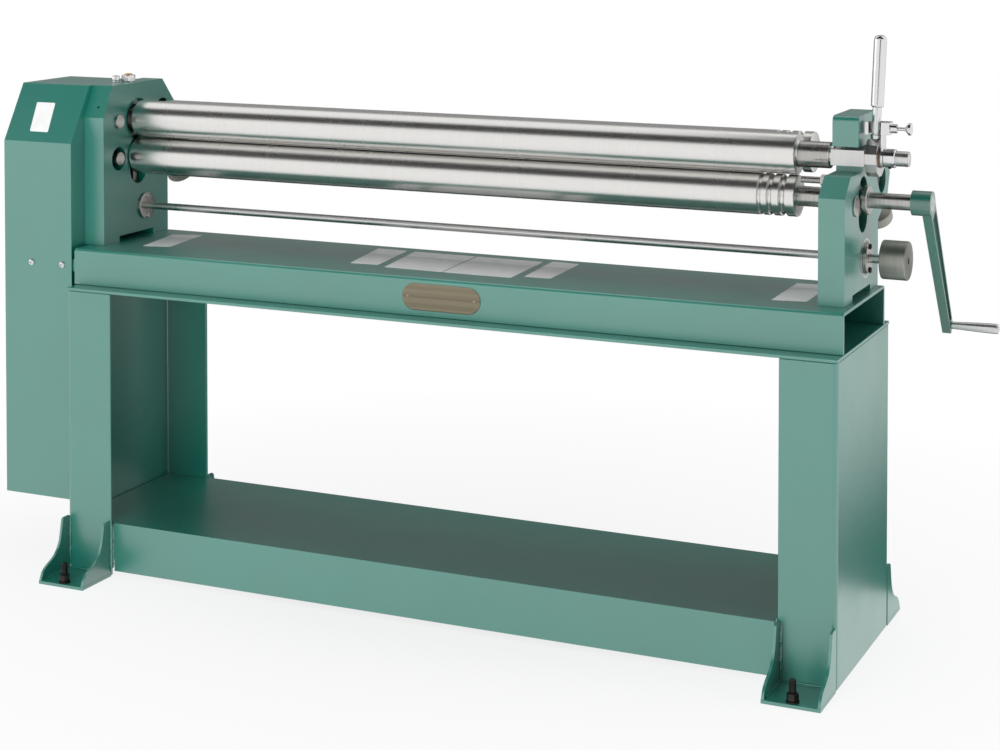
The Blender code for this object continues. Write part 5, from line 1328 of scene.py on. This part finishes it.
@dataclass(frozen=True)
class Bearings:
    """The blocks that carry the rolls, the ball bush, the thrust ring and the gears.

    Attributes:
        shop: The piece maker.
        ring: The thrust ring's profile.
    """

    shop: Shop
    ring: Profile = ((763.65, 14.3), (763.65, 24.6), (765.0, 26.0), (774.3, 26.0),
                     (775.65, 24.6), (775.65, 15.4), (774.6, 14.3), (763.65, 14.3))

    def build(self) -> None:
        """Builds the bearings."""
        for level, body in (("lower", Body.LOWER_CARRIAGE), ("rear", Body.REAR_CARRIAGE)):
            for side in ("left", "right"):
                self.shop.soften(f"{level}_{side}_block", Dress("dark_iron", Slot.DARK, body),
                                 width=0.8, segments=2)
        # Dark iron here is partly the bearing's own colour and partly painted shade of the recess
        # round the upper roll's left end.
        self.shop.dress("upper_left_bearing", "dark_iron")
        for node in ("lower_roll_gear", "upper_roll_gear", "lower_idler", "upper_idler"):
            self.shop.dress(node, "gear_steel")
        self.shop.turned("lower_thrust_ring_turned", self.ring, LOWER_AXIS,
                         Dress("turned_steel", Slot.STEEL, Body.LOWER_SHAFT),
                         ("lower_thrust_ring",))


@dataclass(frozen=True)
class LockGear:
    """The gear at the upper roll's right end: block, cam ring, lever, bracket and screw.

    Attributes:
        shop: The piece maker.
        lever_x: The lever's foot, along the machine.
        lean_deg: How far the lever leans to the right, in degrees.
        lever: The lever's profile: root, hexagon, stem and the thicker grip.
        washer: The washer's profile.
        collar: The collar's profile.
        set_screw: The profile of the collar's screw.
        set_screw_x: Where that screw is, along the machine.
        set_screw_aim: The direction that its head faces.
        thumb: The thumb screw's profile, with its trumpet-shaped head.
        thumb_z: The height of its axis.
    """

    shop: Shop
    lever_x: float = 783.85
    lean_deg: float = 2.5
    lever: Profile = ((18.0, 0.0), (18.0, 5.0), (33.7, 5.0), (33.7, 8.6), (34.4, 9.3),
                      (40.2, 9.3), (41.0, 8.6), (41.0, 6.9), (42.6, 6.9), (43.4, 7.9),
                      (89.4, 8.0), (89.4, 8.6), (90.6, 10.4), (92.2, 11.2), (93.4, 11.3),
                      (206.0, 11.3), (209.6, 11.1), (212.4, 10.3), (214.6, 8.6), (216.0, 6.0),
                      (216.7, 3.0), (216.8, 0.0))
    washer: Profile = ((794.65, 13.8), (794.65, 17.5), (795.1, 18.0), (796.7, 18.0),
                       (797.15, 17.5), (797.15, 13.8), (794.65, 13.8))
    collar: Profile = ((801.75, 13.8), (801.75, 15.5), (802.75, 16.5), (820.9, 16.5),
                       (822.35, 15.1), (822.35, 14.6), (821.4, 13.8), (801.75, 13.8))
    set_screw: Profile = ((12.0, 0.0), (12.0, 3.1), (17.8, 3.1), (18.5, 2.6), (18.5, 1.6),
                          (16.9, 1.4), (16.9, 0.0))
    set_screw_x: float = 812.0
    set_screw_aim: Point = (0.0, -0.34, -0.94)
    thumb: Profile = ((794.65, 0.0), (794.65, 2.3), (795.5, 2.9),
                      *thread(796.0, 823.0, 3.0, 0.4, 1.1), (823.5, 3.0), (834.6, 3.0),
                      (837.0, 3.4), (839.2, 4.5), (841.0, 6.4), (842.6, 8.8), (843.9, 10.3),
                      (844.6, 10.7), (847.9, 10.7), (848.6, 10.3), (848.95, 9.3),
                      (848.95, 8.6), (848.4, 8.0), (848.4, 0.0))
    thumb_z: float = 937.0

    def build(self) -> None:
        """Builds the lock gear."""
        carrier = Dress("bright_chrome", Slot.CHROME, Body.UPPER_CARRIER)
        self.shop.soften("upper_right_block",
                         Dress("satin_steel", Slot.CHROME, Body.UPPER_CARRIER), width=0.8,
                         from_deg=32.0)
        self.shop.soften("cam_ring", Dress("satin_steel", Slot.CHROME, Body.CAM), width=0.9,
                         from_deg=20.0)
        self.shop.soften("lock_bracket", carrier, width=0.9, from_deg=32.0)
        lean = math.radians(self.lean_deg)
        self.shop.turned("cam_lever_turned", self.lever, (self.lever_x, ROLL_Y, UPPER_Z),
                         Dress("bright_chrome", Slot.CHROME, Body.CAM), ("cam_lever",),
                         (math.sin(lean), 0.0, math.cos(lean)), segments=64)
        self.shop.turned("brass_washer_turned", self.washer, UPPER_AXIS,
                         Dress("worn_bronze", Slot.BRASS, Body.UPPER_CARRIER),
                         ("brass_washer",))
        self.shop.turned("spigot_collar_turned", self.collar, UPPER_AXIS, carrier,
                         ("spigot_collar",))
        self.shop.turned("collar_set_screw", self.set_screw, (self.set_screw_x, ROLL_Y, UPPER_Z),
                         Dress("black_steel", Slot.DARK, Body.UPPER_CARRIER),
                         along=self.set_screw_aim, segments=32)
        self._thumb_screw()

    def _thumb_screw(self) -> None:
        """The thumb screw with its knurled head."""
        form = turned_form(self.thumb, 72)
        flute(form, start=844.0, least=10.5, depth=0.035)
        form.transform(aimed((0.0, ROLL_Y, self.thumb_z)))
        self.shop.shaped("thumb_screw_turned", form,
                         Dress("bright_chrome", Slot.CHROME, Body.THUMB), ("thumb_screw",),
                         sharp_deg=30.0)


@dataclass(frozen=True)
class Crank:
    """The cast crank with its shaft end, and the turning grip.

    Attributes:
        shop: The piece maker.
        throw: How far the grip is from the shaft.
        turn_deg: How far the crank is turned from straight down, in degrees.
        grip_x: Where the grip starts, along the machine.
        grip: The grip's profile.
        shaft_end: The profile of the shaft's bare end.
        centre: The profile of a black disc in the hole of the shaft's end, painted shade of the
            hole's depth.
    """

    shop: Shop
    throw: float = 290.5
    turn_deg: float = 33.3
    grip_x: float = 887.35
    grip: Profile = ((0.0, 0.0), (0.0, 6.0), (0.6, 6.5), (20.0, 7.3), (45.0, 8.3),
                     (63.75, 8.9), (72.0, 9.0), (80.5, 9.0), (83.2, 8.5), (84.6, 7.4),
                     (85.0, 6.2), (85.0, 2.4), (84.4, 2.0), (84.4, 0.0))
    shaft_end: Profile = ((886.3, 0.0), (886.3, 14.6), (887.0, 14.6), (887.3, 14.2),
                          (887.3, 12.4), (887.05, 12.0), (887.05, 3.6), (886.6, 3.2),
                          (886.6, 0.0))
    centre: Profile = ((886.4, 0.0), (886.4, 3.0), (886.8, 3.0), (886.8, 0.0))

    def build(self) -> None:
        """Builds the crank."""
        self.shop.soften("crank_arm", Dress("crank_enamel", Slot.CAST, Body.LOWER_SHAFT),
                         width=1.5, from_deg=30.0)
        self.shop.turned("shaft_end_face", self.shaft_end, LOWER_AXIS,
                         Dress("worn_rim", Slot.STEEL, Body.LOWER_SHAFT))
        # A black disc in the shallow centre hole: painted shade of a deep hole.
        self.shop.turned("shaft_centre_hole_shade", self.centre, LOWER_AXIS,
                         Dress("black_steel", Slot.DARK, Body.LOWER_SHAFT), segments=32)
        turn = math.radians(self.turn_deg)
        place = (self.grip_x, ROLL_Y + self.throw * math.sin(turn),
                 LOWER_Z - self.throw * math.cos(turn))
        self.shop.turned("crank_grip_turned", self.grip, place,
                         Dress("satin_steel", Slot.STEEL, Body.GRIP), ("crank_grip",),
                         segments=64)


@dataclass(frozen=True)
class LiftGear:
    """The cross rod with its drum knob, and the two screws behind that lift the rear roll.

    Attributes:
        shop: The piece maker.
        lift_deg: How far the rear roll's way leans to the front, in degrees.
        knob: The drum knob's profile.
        socket: The profile of the socket screw in it.
        screw: The profile of a lifting screw with its fluted knob, down from the roll.
    """

    shop: Shop
    lift_deg: float = 36.0
    knob: Profile = ((793.55, 0.0), (793.55, 32.4), (794.1, 33.9), (795.4, 34.7), (838.1, 34.7),
                     (839.4, 33.9), (839.95, 32.6), (839.95, 7.3), (839.4, 6.7), (835.8, 6.6),
                     (835.8, 0.0))
    socket: Profile = ((834.0, 0.0), (834.0, 6.5), (836.8, 6.5), (837.2, 6.1), (837.2, 3.4),
                       (835.9, 3.2), (835.9, 0.0))
    screw: Profile = ((-28.0, 0.0), (-28.0, 6.6), (-29.0, 7.4),
                      *thread(-29.4, -137.0, 8.0, 0.9, 3.0), (-137.5, 7.0), (-140.0, 7.0),
                      (-140.0, 12.0), (-140.8, 25.4), (-141.6, 27.6), (-143.2, 28.9),
                      (-158.8, 28.9), (-160.9, 28.0), (-162.0, 26.0), (-162.0, 9.0),
                      (-161.0, 8.0), (-161.0, 0.0))

    def build(self) -> None:
        """Builds the lift gear."""
        self.shop.dress("lift_rod", "satin_steel")
        self.shop.turned("lift_knob_turned", self.knob, ROD_AXIS,
                         Dress("knob_alloy", Slot.KNOB, Body.LIFT), ("lift_knob",))
        # The socket screw is black: partly its own black oxide, partly painted shade of the dark
        # hole in the knob's end.
        self.shop.turned("lift_knob_screw", self.socket, ROD_AXIS,
                         Dress("black_steel", Slot.DARK, Body.LIFT), segments=48)
        for node, x, body in (("rear_screw_left", -785.15, Body.KNOB_LEFT),
                              ("rear_screw_right", 739.85, Body.KNOB_RIGHT)):
            self._rear_screw(node, x, body)

    def _rear_screw(self, node: str, x: float, body: Body) -> None:
        """A slanted lifting screw with its fluted knob.

        Args:
            node: The model node that it stands for.
            x: Its place along the machine.
            body: The body that it moves with.
        """
        form = turned_form(self.screw, 72)
        flute(form, start=142.0, least=27.0, depth=0.022)
        lean = math.radians(self.lift_deg)
        form.transform(aimed((x, REAR_Y, REAR_Z), (0.0, -math.sin(lean), math.cos(lean))))
        self.shop.shaped(node + "_turned", form, Dress("knob_alloy", Slot.KNOB, body), (node,),
                         sharp_deg=30.0)


@dataclass(frozen=True)
class Lamp:
    """A soft round lamp that faces the machine.

    Attributes:
        name: The lamp's name.
        place: Where it hangs, in metres.
        size: The width of its disk, in metres.
        power: Its power, in watts.
        mirrored: Whether shiny surfaces show it.
    """

    name: str
    place: Point
    size: float
    power: float
    mirrored: bool = False

    def hang(self, aim: Point) -> None:
        """Hangs the lamp.

        Args:
            aim: The point that it faces, in metres.
        """
        light = bpy.data.lights.new(self.name, "AREA")
        light.shape = "DISK"
        light.size = self.size
        light.energy = self.power
        lamp = bpy.data.objects.new(self.name, light)
        lamp.location = self.place
        lamp.visible_glossy = self.mirrored
        turn = (Vector(aim) - Vector(self.place)).to_track_quat("-Z", "Y")
        lamp.rotation_euler = turn.to_euler()
        bpy.context.scene.collection.objects.link(lamp)


@dataclass(frozen=True)
class Card:
    """A glowing card that only shiny surfaces show: a painted reflection, dark or pale, that
    neither lights nor shades the machine, standing in for a photographer's card.

    Attributes:
        name: The card's name.
        corners: Its four corners, in metres.
        glow: How bright shiny surfaces show it, where 1 is white.
    """

    name: str
    corners: tuple[Point, Point, Point, Point]
    glow: float

    def hang(self) -> None:
        """Hangs the card."""
        form = bmesh.new()
        form.faces.new([form.verts.new(corner) for corner in self.corners])
        card = stage_object(self.name, form)
        material, nodes, _ = start_material(self.name)
        color = (self.glow, self.glow, self.glow, 1)
        show(material, nodes.add("Emission", {"Color": color, "Strength": 1.0}).outputs[0])
        card.data.materials.append(material)
        card.visible_camera = False
        card.visible_diffuse = False
        card.visible_shadow = False
        card.visible_transmission = False


def stage_object(name: str, form: Form) -> bpy.types.Object:
    """Puts a form of the studio in the scene.

    Args:
        name: The object's name.
        form: Its form, in metres; it is freed.

    Returns:
        The object.
    """
    mesh = bpy.data.meshes.new(name)
    form.to_mesh(mesh)
    form.free()
    stage = bpy.data.objects.new(name, mesh)
    bpy.context.scene.collection.objects.link(stage)
    return stage


@dataclass(frozen=True)
class Studio:
    """The floor, the lamps, the cards and the camera.

    Attributes:
        aim: The point that the lamps face, in metres.
        lamps: The lamps.
        cards: The cards, which paint reflections.
        lens: The camera's lens, in millimetres.
        shift: The lens's shift to the side and up.
        camera_place: Where the camera stands, in metres.
        pitch_deg: How far it looks down, in degrees.
        heading_deg: How far it is turned from the machine's front, in degrees.
    """

    aim: Point = (0.0, 0.0, 0.55)
    lamps: tuple[Lamp, ...] = (Lamp("front", (-0.3, -3.5, 0.75), 2.2, 106.0),
                               Lamp("right", (3.1, 0.35, 0.55), 1.6, 42.0),
                               Lamp("left", (-3.6, -1.6, 1.5), 2.4, 12.0, mirrored=True),
                               Lamp("top", (0.3, 0.3, 3.6), 2.6, 48.0))
    # Painted reflections: sheets that only shiny surfaces show.
    cards: tuple[Card, ...] = (
        Card("card_above_front", ((-6.0, -2.80, 2.70), (6.0, -2.80, 2.70), (6.0, -0.70, 3.80),
                                  (-6.0, -0.70, 3.80)), 0.03),
        Card("card_by_camera", ((1.30, -5.2, 0.3), (3.10, -5.2, 0.3), (3.10, -5.2, 2.8),
                                (1.30, -5.2, 2.8)), 0.08),
        Card("card_behind", ((-6.0, 2.7, 0.95), (1.32, 2.7, 0.95), (1.32, 2.7, 4.2),
                             (-6.0, 2.7, 4.2)), 0.28),
        Card("card_behind_low", ((-6.0, 2.7, 0.0), (1.32, 2.7, 0.0), (1.32, 2.7, 0.95),
                                 (-6.0, 2.7, 0.95)), 0.02),
        Card("card_on_floor", ((-3.0, 0.35, 0.004), (1.15, 0.35, 0.004), (1.15, 2.7, 0.004),
                               (-3.0, 2.7, 0.004)), 0.02),
        Card("card_overhead_right", ((-0.1, -0.9, 3.2), (1.5, -0.9, 3.2), (1.5, 0.6, 3.2),
                                     (-0.1, 0.6, 3.2)), 0.02),
    )
    lens: float = 75.57
    shift: tuple[float, float] = (-0.001, -0.417)
    camera_place: Point = (1.7012, -3.60344, 1.35801)
    pitch_deg: float = 1.89
    heading_deg: float = 24.31

    def build(self) -> None:
        """Builds the studio."""
        bpy.context.scene.view_settings.view_transform = "Standard"
        self._world()
        self._floor()
        for lamp in self.lamps:
            lamp.hang(self.aim)
        for card in self.cards:
            card.hang()
        self._camera()

    @staticmethod
    def _world() -> None:
        """A plain world that shows white behind the machine."""
        world = bpy.data.worlds.new("studio_world")
        bpy.context.scene.world = world
        world.use_nodes = True
        nodes = Nodes(world.node_tree)
        world.node_tree.nodes.clear()
        glow = nodes.add("Background", {"Color": (1, 1, 1, 1), "Strength": 1.0})
        fill = nodes.add("Background", {"Color": (0.94, 0.97, 1, 1), "Strength": 0.22})
        both = nodes.add("MixShader", {0: nodes.seen_directly(), 1: fill.outputs[0],
                                       2: glow.outputs[0]})
        nodes.add("OutputWorld", {"Surface": both.outputs[0]})

    @staticmethod
    def _floor() -> None:
        """A pale floor that keeps the machine's shadow and is white further out."""
        form = bmesh.new()
        bmesh.ops.create_circle(form, cap_ends=True, segments=64, radius=14.0)
        floor = stage_object("floor", form)
        material, nodes, shader = start_material("studio_floor")
        nodes.feed(shader, {"Base Color": (0.88, 0.88, 0.88, 1), "Roughness": 0.9,
                            "Specular IOR Level": 0.1})
        reach = nodes.add("VectorMath", {0: nodes.place()}, operation="LENGTH")
        far = nodes.ramp(reach.outputs["Value"], 0.3, 1.7, 0.78, 1.0)
        seen = nodes.math("MULTIPLY", far, nodes.seen_directly())
        white = nodes.add("Emission", {"Color": (1, 1, 1, 1), "Strength": 1.0})
        both = nodes.add("MixShader", {0: seen, 1: shader.outputs[0], 2: white.outputs[0]})
        show(material, both.outputs[0])
        floor.data.materials.append(material)

    def _camera(self) -> None:
        """The camera at the photograph's angle."""
        data = bpy.data.cameras.new("camera")
        data.lens = self.lens
        data.sensor_width = 36.0
        data.shift_x, data.shift_y = self.shift
        camera = bpy.data.objects.new("camera", data)
        camera.location = self.camera_place
        camera.rotation_euler = (math.radians(90.0 - self.pitch_deg), 0.0,
                                 math.radians(self.heading_deg))
        bpy.context.scene.collection.objects.link(camera)
        bpy.context.scene.camera = camera


def main() -> None:
    """Loads the model, dresses it and sets the studio."""
    logging.basicConfig(level=logging.INFO, format="%(name)s: %(message)s")
    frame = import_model()
    shop = Shop(frame)
    for kind in (Stand, Bed, Frames, Cover, Rolls, Bearings, LockGear, Crank, LiftGear):
        kind(shop).build()
        LOG.info("%s done", kind.__name__)
    Studio().build()


if __name__ == "__main__":
    main()
